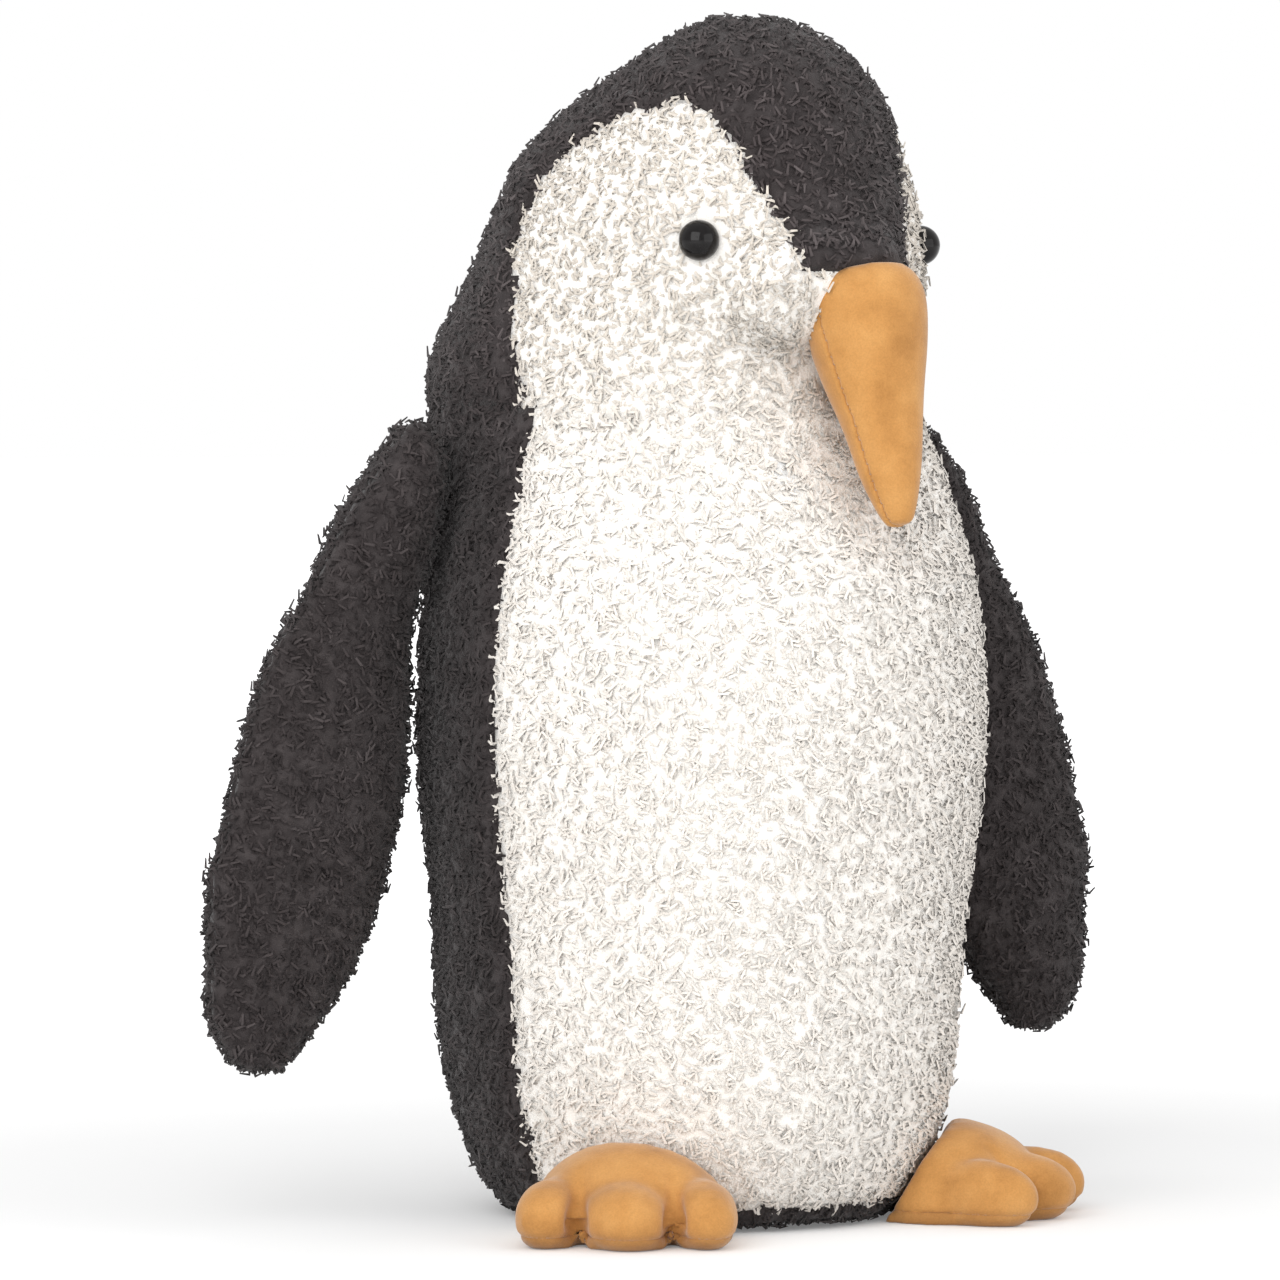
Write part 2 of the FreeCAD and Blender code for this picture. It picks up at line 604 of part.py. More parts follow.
right_side = block("right_half", f"-{2 * FAR}", f"-{FAR}", "-10")
torso_outer = torso_form("torso_outer", "0")
torso_inner = torso_form("torso_inner", f"-{cell('plush')}")
torso_clear = torso_form("torso_clear", cell("seam_gap"))
torso_lining = torso_form("torso_lining", f"({cell('seam_gap')} + {cell('suede')})")
head_outline, head_inside = head_form("head_outer", "0"), head_form("head_inner", cell("plush"))
make_torso(torso_outer, torso_inner, right_side)
make_head(head_outline, head_inside, right_side)
make_beak(head_outline, torso_clear)
for body_side in SIDES:
    make_flipper(body_side, torso_clear)
    make_foot(body_side, torso_clear, torso_lining)
doc.recompute()
check_and_write()
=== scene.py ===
"""A standing plush penguin: curly pile over stuffed cloth, with suede beak and feet and bead eyes."""
import json
import logging
import math
from dataclasses import dataclass, field
from enum import Enum
from functools import cache

import bmesh
import bpy
import numpy as np
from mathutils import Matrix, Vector, noise
from mathutils.bvhtree import BVHTree
from mathutils.kdtree import KDTree


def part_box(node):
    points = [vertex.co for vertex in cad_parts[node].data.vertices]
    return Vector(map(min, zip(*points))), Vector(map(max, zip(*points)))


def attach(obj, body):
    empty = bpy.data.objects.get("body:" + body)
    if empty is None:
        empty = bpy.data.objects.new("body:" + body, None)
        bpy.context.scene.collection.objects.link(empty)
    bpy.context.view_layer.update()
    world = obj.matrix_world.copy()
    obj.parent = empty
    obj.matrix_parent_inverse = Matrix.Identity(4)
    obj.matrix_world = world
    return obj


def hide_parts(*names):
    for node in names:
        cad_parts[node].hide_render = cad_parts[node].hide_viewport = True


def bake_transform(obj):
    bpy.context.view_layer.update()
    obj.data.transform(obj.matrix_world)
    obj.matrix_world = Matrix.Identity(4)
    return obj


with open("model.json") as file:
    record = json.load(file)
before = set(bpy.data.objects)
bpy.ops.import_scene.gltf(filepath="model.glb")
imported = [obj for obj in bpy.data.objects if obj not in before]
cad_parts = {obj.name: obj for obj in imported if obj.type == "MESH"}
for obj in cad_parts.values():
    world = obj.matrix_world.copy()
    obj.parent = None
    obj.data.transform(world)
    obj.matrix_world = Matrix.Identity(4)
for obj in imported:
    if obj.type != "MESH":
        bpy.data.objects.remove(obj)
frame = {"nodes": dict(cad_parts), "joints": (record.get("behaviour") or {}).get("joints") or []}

log = logging.getLogger("plush_penguin")

MM = 0.001
UP = Vector((0.0, 0.0, 1.0))
BAKE_MAP = "OFBake"
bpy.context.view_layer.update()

Colour = tuple[float, float, float]


def grey(level: float) -> Colour:
    """A colour without hue."""
    return (level, level, level)


class Side(Enum):
    """The penguin's own left and right."""

    LEFT = "left"
    RIGHT = "right"

    @property
    def hand(self) -> int:
        """+1 on the left, where x is positive, and -1 on the right."""
        return 1 if self is Side.LEFT else -1


class Cloth(Enum):
    """The two colours of plush."""

    CHARCOAL = "charcoal_plush"
    WHITE = "white_plush"


# ---------------------------------------------------------------- finishes


def socket_name(key: str) -> str:
    """A socket's name from a keyword, such as Specular IOR Level from specular_ior_level."""
    return key.replace("_", " ").title().replace("Ior", "IOR")


class Shader:
    """A node material with one Principled shader, and short ways to add nodes to it."""

    def __init__(self, name: str) -> None:
        """Makes the material.

        Args:
            name: What the material is called.
        """
        self.material = bpy.data.materials.new(name)
        self.material.use_nodes = True
        self.tree = self.material.node_tree
        self.principled = next(n for n in self.tree.nodes if n.type == "BSDF_PRINCIPLED")

    def node(self, kind: str, **values: object) -> bpy.types.Node:
        """Adds a node.

        Args:
            kind: The node's type, without its ShaderNode prefix.
            **values: Its own settings, or its sockets' values by their names in lower case.

        Returns:
            The new node.
        """
        made = self.tree.nodes.new(f"ShaderNode{kind}")
        for key, value in values.items():
            if hasattr(made, key):
                setattr(made, key, value)
            else:
                made.inputs[socket_name(key)].default_value = value
        return made

    def join(self, source: bpy.types.NodeSocket, target: bpy.types.NodeSocket) -> None:
        """Links one socket to another."""
        self.tree.links.new(source, target)

    def plain(self, **values: object) -> None:
        """Sets the Principled shader's own sockets, each by its name in lower case."""
        for key, value in values.items():
            self.principled.inputs[socket_name(key)].default_value = value

    def noise(self, scale: float, detail: float = 3.0, roughness: float = 0.55) -> bpy.types.NodeSocket:
        """A noise on the object's own coordinates.

        Args:
            scale: Lumps in a metre.
            detail: Finer layers on top of it.
            roughness: How strong those layers are.

        Returns:
            The noise's value.
        """
        place = self.node("TexCoord")
        made = self.node("TexNoise", scale=scale, detail=detail, roughness=roughness)
        self.join(place.outputs["Object"], made.inputs["Vector"])
        return made.outputs["Fac"]

    def ramp(self, value: bpy.types.NodeSocket, stops: list[tuple[float, Colour]]) -> bpy.types.NodeSocket:
        """Colours a value.

        Args:
            value: What is coloured, from 0 to 1.
            stops: Places and their colours, linear RGB.

        Returns:
            The colour.
        """
        made = self.node("ValToRGB")
        steps = made.color_ramp.elements
        while len(steps) < len(stops):
            steps.new(0.5)
        for step, (position, colour) in zip(steps, stops):
            step.position = position
            step.color = (*colour, 1.0)
        self.join(value, made.inputs["Fac"])
        return made.outputs["Color"]

    def painted_light_by_height(self, low: float, high: float, first: Colour, last: Colour) -> bpy.types.NodeSocket:
        """A painted light and shade that fades to another with height: it lightens or darkens a colour by
        height, standing in for how light falls on the upper and lower parts.

        Args:
            low: Height where it starts to change.
            high: Height where it has changed.
            first: The shade below, linear RGB.
            last: The shade above.

        Returns:
            The colour.
        """
        place, parts = self.node("TexCoord"), self.node("SeparateXYZ")
        self.join(place.outputs["Object"], parts.inputs["Vector"])
        reach = self.node("MapRange", interpolation_type="SMOOTHSTEP", from_min=low, from_max=high)
        self.join(parts.outputs["Z"], reach.inputs["Value"])
        return self.ramp(reach.outputs["Result"], [(0.0, first), (1.0, last)])

    def tinted(
        self, colour: bpy.types.NodeSocket, shade: bpy.types.NodeSocket, amount: float
    ) -> bpy.types.NodeSocket:
        """Multiplies a colour by a shade, as much as amount says.

        Args:
            colour: The colour to change.
            shade: What it is multiplied by.
            amount: From 0, not at all, to 1.

        Returns:
            The changed colour.
        """
        made = self.node("Mix", data_type="RGBA", blend_type="MULTIPLY")
        made.inputs[0].default_value = amount
        self.join(colour, made.inputs[6])
        self.join(shade, made.inputs[7])
        return made.outputs[2]

    def bump(self, height: bpy.types.NodeSocket, strength: float, depth: float) -> None:
        """Roughens the surface.

        Args:
            height: The relief, from 0 to 1.
            strength: How much of it shows.
            depth: Its depth in metres.
        """
        made = self.node("Bump", strength=strength, distance=depth)
        self.join(height, made.inputs["Height"])
        self.join(made.outputs["Normal"], self.principled.inputs["Normal"])


@dataclass(frozen=True)
class PileFinish:
    """Curly pile: each lock has its own tone, with painted shade that darkens it toward its root, where the
    locks shadow one another, and painted light and shade that changes with height.
    """

    name: str
    deep: Colour
    middle: Colour
    bright: Colour
    root_shade: float
    sheen: float
    body_painted_shading: Colour
    head_painted_shading: Colour
    fleck_scale: float = 900.0
    fuzz_scale: float = 2600.0
    head_low: float = 150.0 * MM
    head_high: float = 190.0 * MM

    def made(self) -> bpy.types.Material:
        """Builds the node material."""
        shader = Shader(self.name)
        tone = shader.node("Attribute", attribute_name="tone")
        colour = shader.ramp(tone.outputs["Fac"], [(0.0, self.deep), (0.5, self.middle), (1.0, self.bright)])
        along = shader.node("Attribute", attribute_name="along")
        # Painted shade: each lock is darkened toward its root, where the locks shadow one another.
        shade = shader.ramp(along.outputs["Fac"], [(0.0, grey(self.root_shade)), (0.65, grey(1.0))])
        colour = shader.tinted(colour, shade, 1.0)
        fleck = shader.ramp(shader.noise(self.fleck_scale), [(0.3, grey(0.8)), (0.7, grey(1.0))])
        colour = shader.tinted(colour, fleck, 0.5)
        # Painted light and shade by height: the charcoal below the head is painted darker than the crown, as
        # if the crown were lit from above, and the white face is painted darker than the belly, as if in
        # shade.
        height_painted_light = shader.painted_light_by_height(self.head_low, self.head_high, self.body_painted_shading, self.head_painted_shading)
        colour = shader.tinted(colour, height_painted_light, 1.0)
        shader.join(colour, shader.principled.inputs["Base Color"])
        shader.bump(shader.noise(self.fuzz_scale, 2.0), 0.5, 0.2 * MM)
        shader.plain(roughness=0.92, specular_ior_level=0.15, sheen_weight=self.sheen, sheen_roughness=0.55)
        return shader.material


@dataclass(frozen=True)
class BackingFinish:
    """The knitted cloth under the pile, seen only between the locks."""

    name: str
    dark: Colour
    light: Colour
    yarn_scale: float = 260.0
    loop_scale: float = 1400.0

    def made(self) -> bpy.types.Material:
        """Builds the node material."""
        shader = Shader(self.name)
        colour = shader.ramp(shader.noise(self.yarn_scale, 4.0), [(0.35, self.dark), (0.65, self.light)])
        shader.join(colour, shader.principled.inputs["Base Color"])
        shader.bump(shader.noise(self.loop_scale), 0.6, 0.5 * MM)
        shader.plain(roughness=0.95, specular_ior_level=0.1, sheen_weight=0.2)
        return shader.material


@dataclass(frozen=True)
class SuedeFinish:
    """Brushed suede cloth: cloudy where its raised fibres lie over, with a fine grain of short fibres."""

    name: str
    rubbed: Colour
    ground: Colour
    brushed: Colour
    cloud_scale: float = 95.0
    grain_scale: float = 2400.0

    def made(self) -> bpy.types.Material:
        """Builds the node material."""
        shader = Shader(self.name)
        clouds = shader.noise(self.cloud_scale, 5.0, 0.6)
        colour = shader.ramp(clouds, [(0.3, self.rubbed), (0.5, self.ground), (0.72, self.brushed)])
        grain = shader.noise(self.grain_scale, 3.0, 0.7)
        fibres = shader.ramp(grain, [(0.3, grey(0.78)), (0.62, grey(1.0))])
        colour = shader.tinted(colour, fibres, 0.7)
        shader.join(colour, shader.principled.inputs["Base Color"])
        shader.bump(grain, 0.45, 0.2 * MM)
        shader.plain(roughness=0.88, specular_ior_level=0.2, sheen_weight=0.35, sheen_roughness=0.4)
        return shader.material


@dataclass(frozen=True)
class HardFinish:
    """Moulded plastic, with faint unevenness in its gloss."""

    name: str
    low: Colour
    high: Colour
    gloss: tuple[float, float]
    specular: float = 0.5
    cloud_scale: float = 420.0
    wear_scale: float = 700.0

    def made(self) -> bpy.types.Material:
        """Builds the node material."""
        shader = Shader(self.name)
        colour = shader.ramp(shader.noise(self.cloud_scale), [(0.35, self.low), (0.65, self.high)])
        shader.join(colour, shader.principled.inputs["Base Color"])
        rough = shader.node("MapRange", to_min=self.gloss[0], to_max=self.gloss[1])
        shader.join(shader.noise(self.wear_scale, 4.0), rough.inputs["Value"])
        shader.join(rough.outputs["Result"], shader.principled.inputs["Roughness"])
        shader.plain(specular_ior_level=self.specular)
        return shader.material


@dataclass(frozen=True)
class FibreFinish:
    """Loose polyester filling: soft, white and matted."""

    name: str
    matted_scale: float = 320.0

    def made(self) -> bpy.types.Material:
        """Builds the node material."""
        shader = Shader(self.name)
        matted = shader.noise(self.matted_scale, 6.0, 0.7)
        colour = shader.ramp(matted, [(0.3, (0.72, 0.72, 0.71)), (0.7, (0.93, 0.93, 0.92))])
        shader.join(colour, shader.principled.inputs["Base Color"])
        shader.bump(matted, 0.8, MM)
        shader.plain(roughness=0.97, specular_ior_level=0.05)
        return shader.material


# Each pile's body and head shadings are painted light and shade by height: the charcoal body is painted
# darker than its crown, as if the crown were lit from above, and the white face is painted darker than the
# belly, as if in shade.
PILES = {
    Cloth.CHARCOAL: PileFinish(
        "charcoal_pile", deep=(0.042, 0.034, 0.034), middle=(0.068, 0.056, 0.056),
        bright=(0.11, 0.093, 0.093), root_shade=0.5, sheen=0.1, body_painted_shading=grey(0.66), head_painted_shading=grey(1.0),
    ),
    Cloth.WHITE: PileFinish(
        "white_pile", deep=(0.85, 0.795, 0.73), middle=(0.89, 0.835, 0.77), bright=(0.92, 0.87, 0.81),
        root_shade=1.0, sheen=0.1, body_painted_shading=grey(1.0), head_painted_shading=(0.8, 0.78, 0.75),
    ),
}
BACKINGS = {
    Cloth.CHARCOAL: BackingFinish("charcoal_backing", (0.03, 0.025, 0.025), (0.055, 0.047, 0.047)),
    Cloth.WHITE: BackingFinish("white_backing", (0.88, 0.85, 0.8), (0.94, 0.91, 0.87)),
}
OCHRE_SUEDE = SuedeFinish("ochre_suede", (0.43, 0.2, 0.056), (0.54, 0.262, 0.078), (0.62, 0.32, 0.105))
SOLE_SUEDE = SuedeFinish("sole_suede", (0.35, 0.165, 0.05), (0.44, 0.215, 0.068), (0.5, 0.26, 0.09))
BLACK_BEAD = HardFinish("black_bead", (0.005, 0.004, 0.004), (0.009, 0.008, 0.008), (0.08, 0.14), 0.22)
WHITE_PLASTIC = HardFinish("white_plastic", (0.74, 0.74, 0.72), (0.82, 0.82, 0.8), (0.35, 0.5))
PELLETS = HardFinish("pellet_plastic", (0.68, 0.68, 0.65), (0.78, 0.78, 0.75), (0.4, 0.55))
POUCH = BackingFinish("pouch_cotton", (0.7, 0.68, 0.62), (0.8, 0.78, 0.73))
FIBRE = FibreFinish("polyester_fibre")
HARD_PARTS = {
    "eye_left": BLACK_BEAD, "eye_right": BLACK_BEAD, "eye_washer_left": WHITE_PLASTIC,
    "eye_washer_right": WHITE_PLASTIC, "bean_pellets": PELLETS,
}


class Palette:
    """The object's materials, each made once."""

    def __init__(self) -> None:
        """Starts with none made."""
        self.kept: dict[str, bpy.types.Material] = {}

    def __call__(self, finish: object) -> bpy.types.Material:
        """The material of a finish."""
        if finish.name not in self.kept:
            self.kept[finish.name] = finish.made()
        return self.kept[finish.name]


palette = Palette()


# ---------------------------------------------------------------- meshes


def node_copies(*nodes: str) -> bmesh.types.BMesh:
    """Copies of CAD nodes in one mesh, each closed.

    Args:
        *nodes: The nodes' names.

    Returns:
        The joined copy.
    """
    bm = bmesh.new()
    for name in nodes:
        bm.from_mesh(frame["nodes"][name].data)
    bmesh.ops.remove_doubles(bm, verts=bm.verts, dist=1e-7)
    return bm


def finished(name: str, bm: bmesh.types.BMesh, *materials: bpy.types.Material) -> bpy.types.Object:
    """Makes a smooth-shaded object of a mesh and frees the mesh.

    Args:
        name: The piece's name.
        bm: Its shape, in place.
        *materials: Its materials, in slot order.

    Returns:
        The object, at the origin.
    """
    mesh = bpy.data.meshes.new(name)
    bm.to_mesh(mesh)
    bm.free()
    for material in materials:
        mesh.materials.append(material)
    mesh.shade_smooth()
    piece = bpy.data.objects.new(name, mesh)
    bpy.context.scene.collection.objects.link(piece)
    return piece


def shell(faces: list[bmesh.types.BMFace], thickness: float) -> bmesh.types.BMesh:
    """A closed sheet under some faces of a skin, as deep as its cloth is thick.

    Args:
        faces: The sheet's outside.
        thickness: Its thickness, inwards along the skin's own normals.

    Returns:
        The sheet, as a mesh of its own.
    """
    sheet = bmesh.new()
    outer, inner = {}, {}
    for vert in {v for face in faces for v in face.verts}:
        outer[vert] = sheet.verts.new(vert.co)
        inner[vert] = sheet.verts.new(vert.co - vert.normal * thickness)
    chosen = set(faces)
    for face in faces:
        sheet.faces.new([outer[v] for v in face.verts])
        sheet.faces.new([inner[v] for v in reversed(face.verts)])
        for loop in face.loops:
            if not any(other in chosen for other in loop.edge.link_faces if other is not face):
                here, there = loop.vert, loop.link_loop_next.vert
                sheet.faces.new([outer[there], outer[here], inner[here], inner[there]])
    return sheet


def softened(bm: bmesh.types.BMesh, voxel: float, smooths: int, inset: float) -> bmesh.types.BMesh:
    """One even skin over some joined solids, rounded and set in.

    Args:
        bm: The solids; freed.
        voxel: Width of the skin's faces.
        smooths: How often it is smoothed.
        inset: How far it lies inside the solids' outline.

    Returns:
        The skin.
    """
    draft = finished("draft", bm)
    remesh = draft.modifiers.new("even", "REMESH")
    remesh.mode, remesh.voxel_size = "VOXEL", voxel
    smooth = draft.modifiers.new("soft", "SMOOTH")
    smooth.factor, smooth.iterations = 0.5, smooths
    shrink = draft.modifiers.new("inset", "DISPLACE")
    shrink.mid_level, shrink.strength = 0.0, -inset
    depsgraph = bpy.context.evaluated_depsgraph_get()
    mesh = bpy.data.meshes.new_from_object(draft.evaluated_get(depsgraph))
    skin = bmesh.new()
    skin.from_mesh(mesh)
    bpy.data.objects.remove(draft)
    bpy.data.meshes.remove(mesh)
    bmesh.ops.recalc_face_normals(skin, faces=skin.faces)
    return skin


def refined(bm: bmesh.types.BMesh) -> bmesh.types.BMesh:
    """Cuts every face in four and rounds the result."""
    bmesh.ops.subdivide_edges(bm, edges=bm.edges, cuts=1, use_grid_fill=True)
    for _ in range(3):
        bmesh.ops.smooth_vert(
            bm, verts=bm.verts, factor=0.5, use_axis_x=True, use_axis_y=True, use_axis_z=True
        )
    return bm


def lumpy(bm: bmesh.types.BMesh, amount: float, size: float, seed: float) -> None:
    """Pushes a skin in and out along its normals, as hand stuffing does.

    Args:
        bm: The skin.
        amount: The most that a point moves.
        size: Width of a lump.
        seed: Where in the noise it starts.
    """
    bm.normal_update()
    start = Vector((seed, 2.0 * seed, -seed))
    for vert in bm.verts:
        vert.co += vert.normal * amount * noise.noise(vert.co / size + start)


@dataclass(frozen=True)
class Puff:
    """A place where the stuffing presses a skin out of its cut shape, the same on both sides."""

    place: Vector
    reach: Vector
    push: Vector

    def press(self, bm: bmesh.types.BMesh) -> None:
        """Moves the skin near the place, and near its mirror image.

        Args:
            bm: The skin.
        """
        for vert in bm.verts:
            hand = math.copysign(1.0, vert.co.x) if self.place.x else 1.0
            way = Vector((vert.co.x * hand, vert.co.y, vert.co.z)) - self.place
            apart = Vector(here / far for here, far in zip(way, self.reach)).length
            near = min(max(2.0 - 2.0 * apart, 0.0), 1.0)
            vert.co += Vector((self.push.x * hand, self.push.y, self.push.z)) * near**2 * (3.0 - 2.0 * near)


def keep_above(bm: bmesh.types.BMesh, height: float) -> None:
    """Flattens what would hang below a height, as the table does."""
    for vert in bm.verts:
        vert.co.z = max(vert.co.z, height)


def search_tree(bm: bmesh.types.BMesh) -> BVHTree:
    """A search tree of a mesh, which is freed."""
    tree = BVHTree.FromBMesh(bm)
    bm.free()
    return tree


def seam_between(bm: bmesh.types.BMesh, owners: dict[bmesh.types.BMFace, int]) -> set[bmesh.types.BMVert]:
    """The vertices where two panels meet.

    Args:
        bm: The skin.
        owners: Which panel each face belongs to.

    Returns:
        The vertices.
    """
    return {v for e in bm.edges if len({owners[f] for f in e.link_faces}) > 1 for v in e.verts}


class PanelMap:
    """Says which sewn panel a place on the skin belongs to: that of the nearest CAD panel."""

    def __init__(self, panels: list[str]) -> None:
        """Takes the panels.

        Args:
            panels: The CAD nodes of the panels.
        """
        self.trees = []
        for name in panels:
            bm = bmesh.new()
            bm.from_mesh(frame["nodes"][name].data)
            self.trees.append(search_tree(bm))

    def panel_at(self, place: Vector) -> int:
        """The number of the panel nearest to a place."""
        distances = [tree.find_nearest(place)[3] for tree in self.trees]
        return int(np.argmin(distances))


# ---------------------------------------------------------------- pile


@dataclass(frozen=True)
class PileCut:
    """How long, dense and curly the pile is on one kind of panel."""

    locks_per_mm2: float = 0.98
    thickness: float = 0.44 * MM
    length: float = 0.66
    droop: float = 0.25
    clump_mm2: float = 9.0
    clumping: float = 0.55
    clump_reach: float = 2.5 * MM
    clump_tone: float = 0.2
    lock_tone: float = 0.14
    lean: float = 0.28
    uneven: tuple[float, float] = (0.78, 1.2)
    root_inset: float = 0.6 * MM
    height: float = 2.0 * MM
    softness: float = 0.88


@dataclass(frozen=True)
class Curl:
    """One lock: a tapered thread that rises and bends over."""

    radius: float
    bend: float
    drift: float


CURLS = [
    Curl(radius, math.radians(bend), drift)
    for radius, bend, drift in (
        (2.0 * MM, 170, 0.8 * MM), (1.8 * MM, 190, -0.9 * MM), (1.6 * MM, 205, 1.1 * MM),
        (1.5 * MM, 215, -1.2 * MM), (2.2 * MM, 155, 0.4 * MM), (1.4 * MM, 225, 1.5 * MM),
        (1.7 * MM, 195, 0.6 * MM), (1.9 * MM, 180, -0.5 * MM),
    )
]
CURL_SIDES = 3
CURL_STEPS = 2
CURL_TAPER = (0.9, 1.15, 0.75)
LOCKS_IN_PIECE = 13000
CELL_MARGIN = 0.08
FLAT_UNDER = 1.0 * MM
PARTS_IN_PILE = {
    "eye_left": 1.4 * MM, "eye_right": 1.4 * MM, "beak_upper": 0.9 * MM, "beak_lower": 0.9 * MM,
}


@cache
def part_trees() -> list[tuple[BVHTree, float]]:
    """A search tree of each bare part in the pile, with the room round it."""
    return [(search_tree(node_copies(name)), room) for name, room in PARTS_IN_PILE.items()]


def clear_of_parts(spots: np.ndarray) -> np.ndarray:
    """Which places in the pile are clear of the eyes and the beak."""
    return np.array(
        [all(tree.find_nearest(Vector(s), room)[0] is None for tree, room in part_trees()) for s in spots]
    )


@dataclass(frozen=True)
class Fringe:
    """The hood's hem, combed forward and down over the root of the beak."""

    below: float = 9.0 * MM
    beside: float = 5.0 * MM
    fading: float = 4.0 * MM
    comb: tuple[float, float, float] = (0.1, -0.8, -1.6)

    def combed(self, roots: np.ndarray, rise: np.ndarray) -> np.ndarray:
        """Turns the locks near the beak's root.

        Args:
            roots: Where the locks start.
            rise: Which way each starts.

        Returns:
            The combed directions.
        """
        low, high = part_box("beak_upper")
        near = np.exp(-np.maximum(0.0, roots[:, 2] - high.z) / self.fading)
        near *= (roots[:, 2] > high.z - self.below) * (roots[:, 1] < 0.0)
        near *= (roots[:, 0] > low.x - self.beside) * (roots[:, 0] < high.x + self.beside)
        return rise + near[:, None] * np.array(self.comb)


class Lock:
    """A curl's mesh, ready to be repeated."""

    def __init__(self, curl: Curl, thickness: float) -> None:
        """Spins a small ring through the curl's bend.

        Args:
            curl: The curl.
            thickness: The thread's radius.
        """
        bm = bmesh.new()
        bmesh.ops.create_circle(bm, cap_ends=True, radius=thickness, segments=CURL_SIDES)
        bmesh.ops.spin(
            bm, geom=bm.verts[:] + bm.edges[:] + bm.faces[:], cent=(curl.radius, 0.0, 0.0),
            axis=(0.0, 1.0, 0.0), dvec=(0.0, curl.drift / CURL_STEPS, 0.0), angle=curl.bend,
            steps=CURL_STEPS, use_merge=False,
        )
        order = {v: i for i, v in enumerate(sorted(bm.verts, key=lambda v: self.place_on(v.co, curl)))}
        rings = np.array([v.co for v in order]).reshape(CURL_STEPS + 1, CURL_SIDES, 3)
        centres = rings.mean(axis=1, keepdims=True)
        taper = np.array(CURL_TAPER)[:, None, None]
        self.verts = (centres + (rings - centres) * taper).reshape(-1, 3)
        self.sides = ((rings - centres) / thickness).reshape(-1, 3)
        self.along = np.repeat(np.linspace(0.0, 1.0, CURL_STEPS + 1), CURL_SIDES)
        faces = sorted([order[v] for v in f.verts] for f in bm.faces)
        faces.sort(key=len)
        bm.free()
        self.sizes = np.array([len(f) for f in faces])
        self.corners = np.concatenate([np.array(f) for f in faces])
        self.map = np.concatenate([self.flat(np.array(f)) for f in faces])

    @staticmethod
    def place_on(spot: Vector, curl: Curl) -> tuple[int, float]:
        """Where a vertex is on its curl.

        Args:
            spot: The vertex.
            curl: The curl.

        Returns:
            The number of its ring, and its angle on that ring.
        """
        turned = math.atan2(spot.z, curl.radius - spot.x) % (2.0 * math.pi - 0.1)
        ring = round(turned / curl.bend * CURL_STEPS)
        out = curl.radius - math.hypot(spot.z, curl.radius - spot.x)
        return ring, math.atan2(spot.y - curl.drift * ring / CURL_STEPS, out)

    @staticmethod
    def flat(face: np.ndarray) -> np.ndarray:
        """Lays one face out in the unit square.

        Args:
            face: The face's vertices.

        Returns:
            Its corners: round the thread across, along the thread up.
        """
        ring, side = face // CURL_SIDES, face % CURL_SIDES
        if len(set(ring)) == 1:
            tall = np.where(side == 1, 0.08, 0.0) * (1 if ring[0] == 0 else -1)
            return np.stack([side / CURL_SIDES, ring / CURL_STEPS + tall], axis=1)
        wrapped = np.where((side == 0) & (side.max() == CURL_SIDES - 1), CURL_SIDES, side)
        return np.stack([wrapped / CURL_SIDES, ring / CURL_STEPS], axis=1)


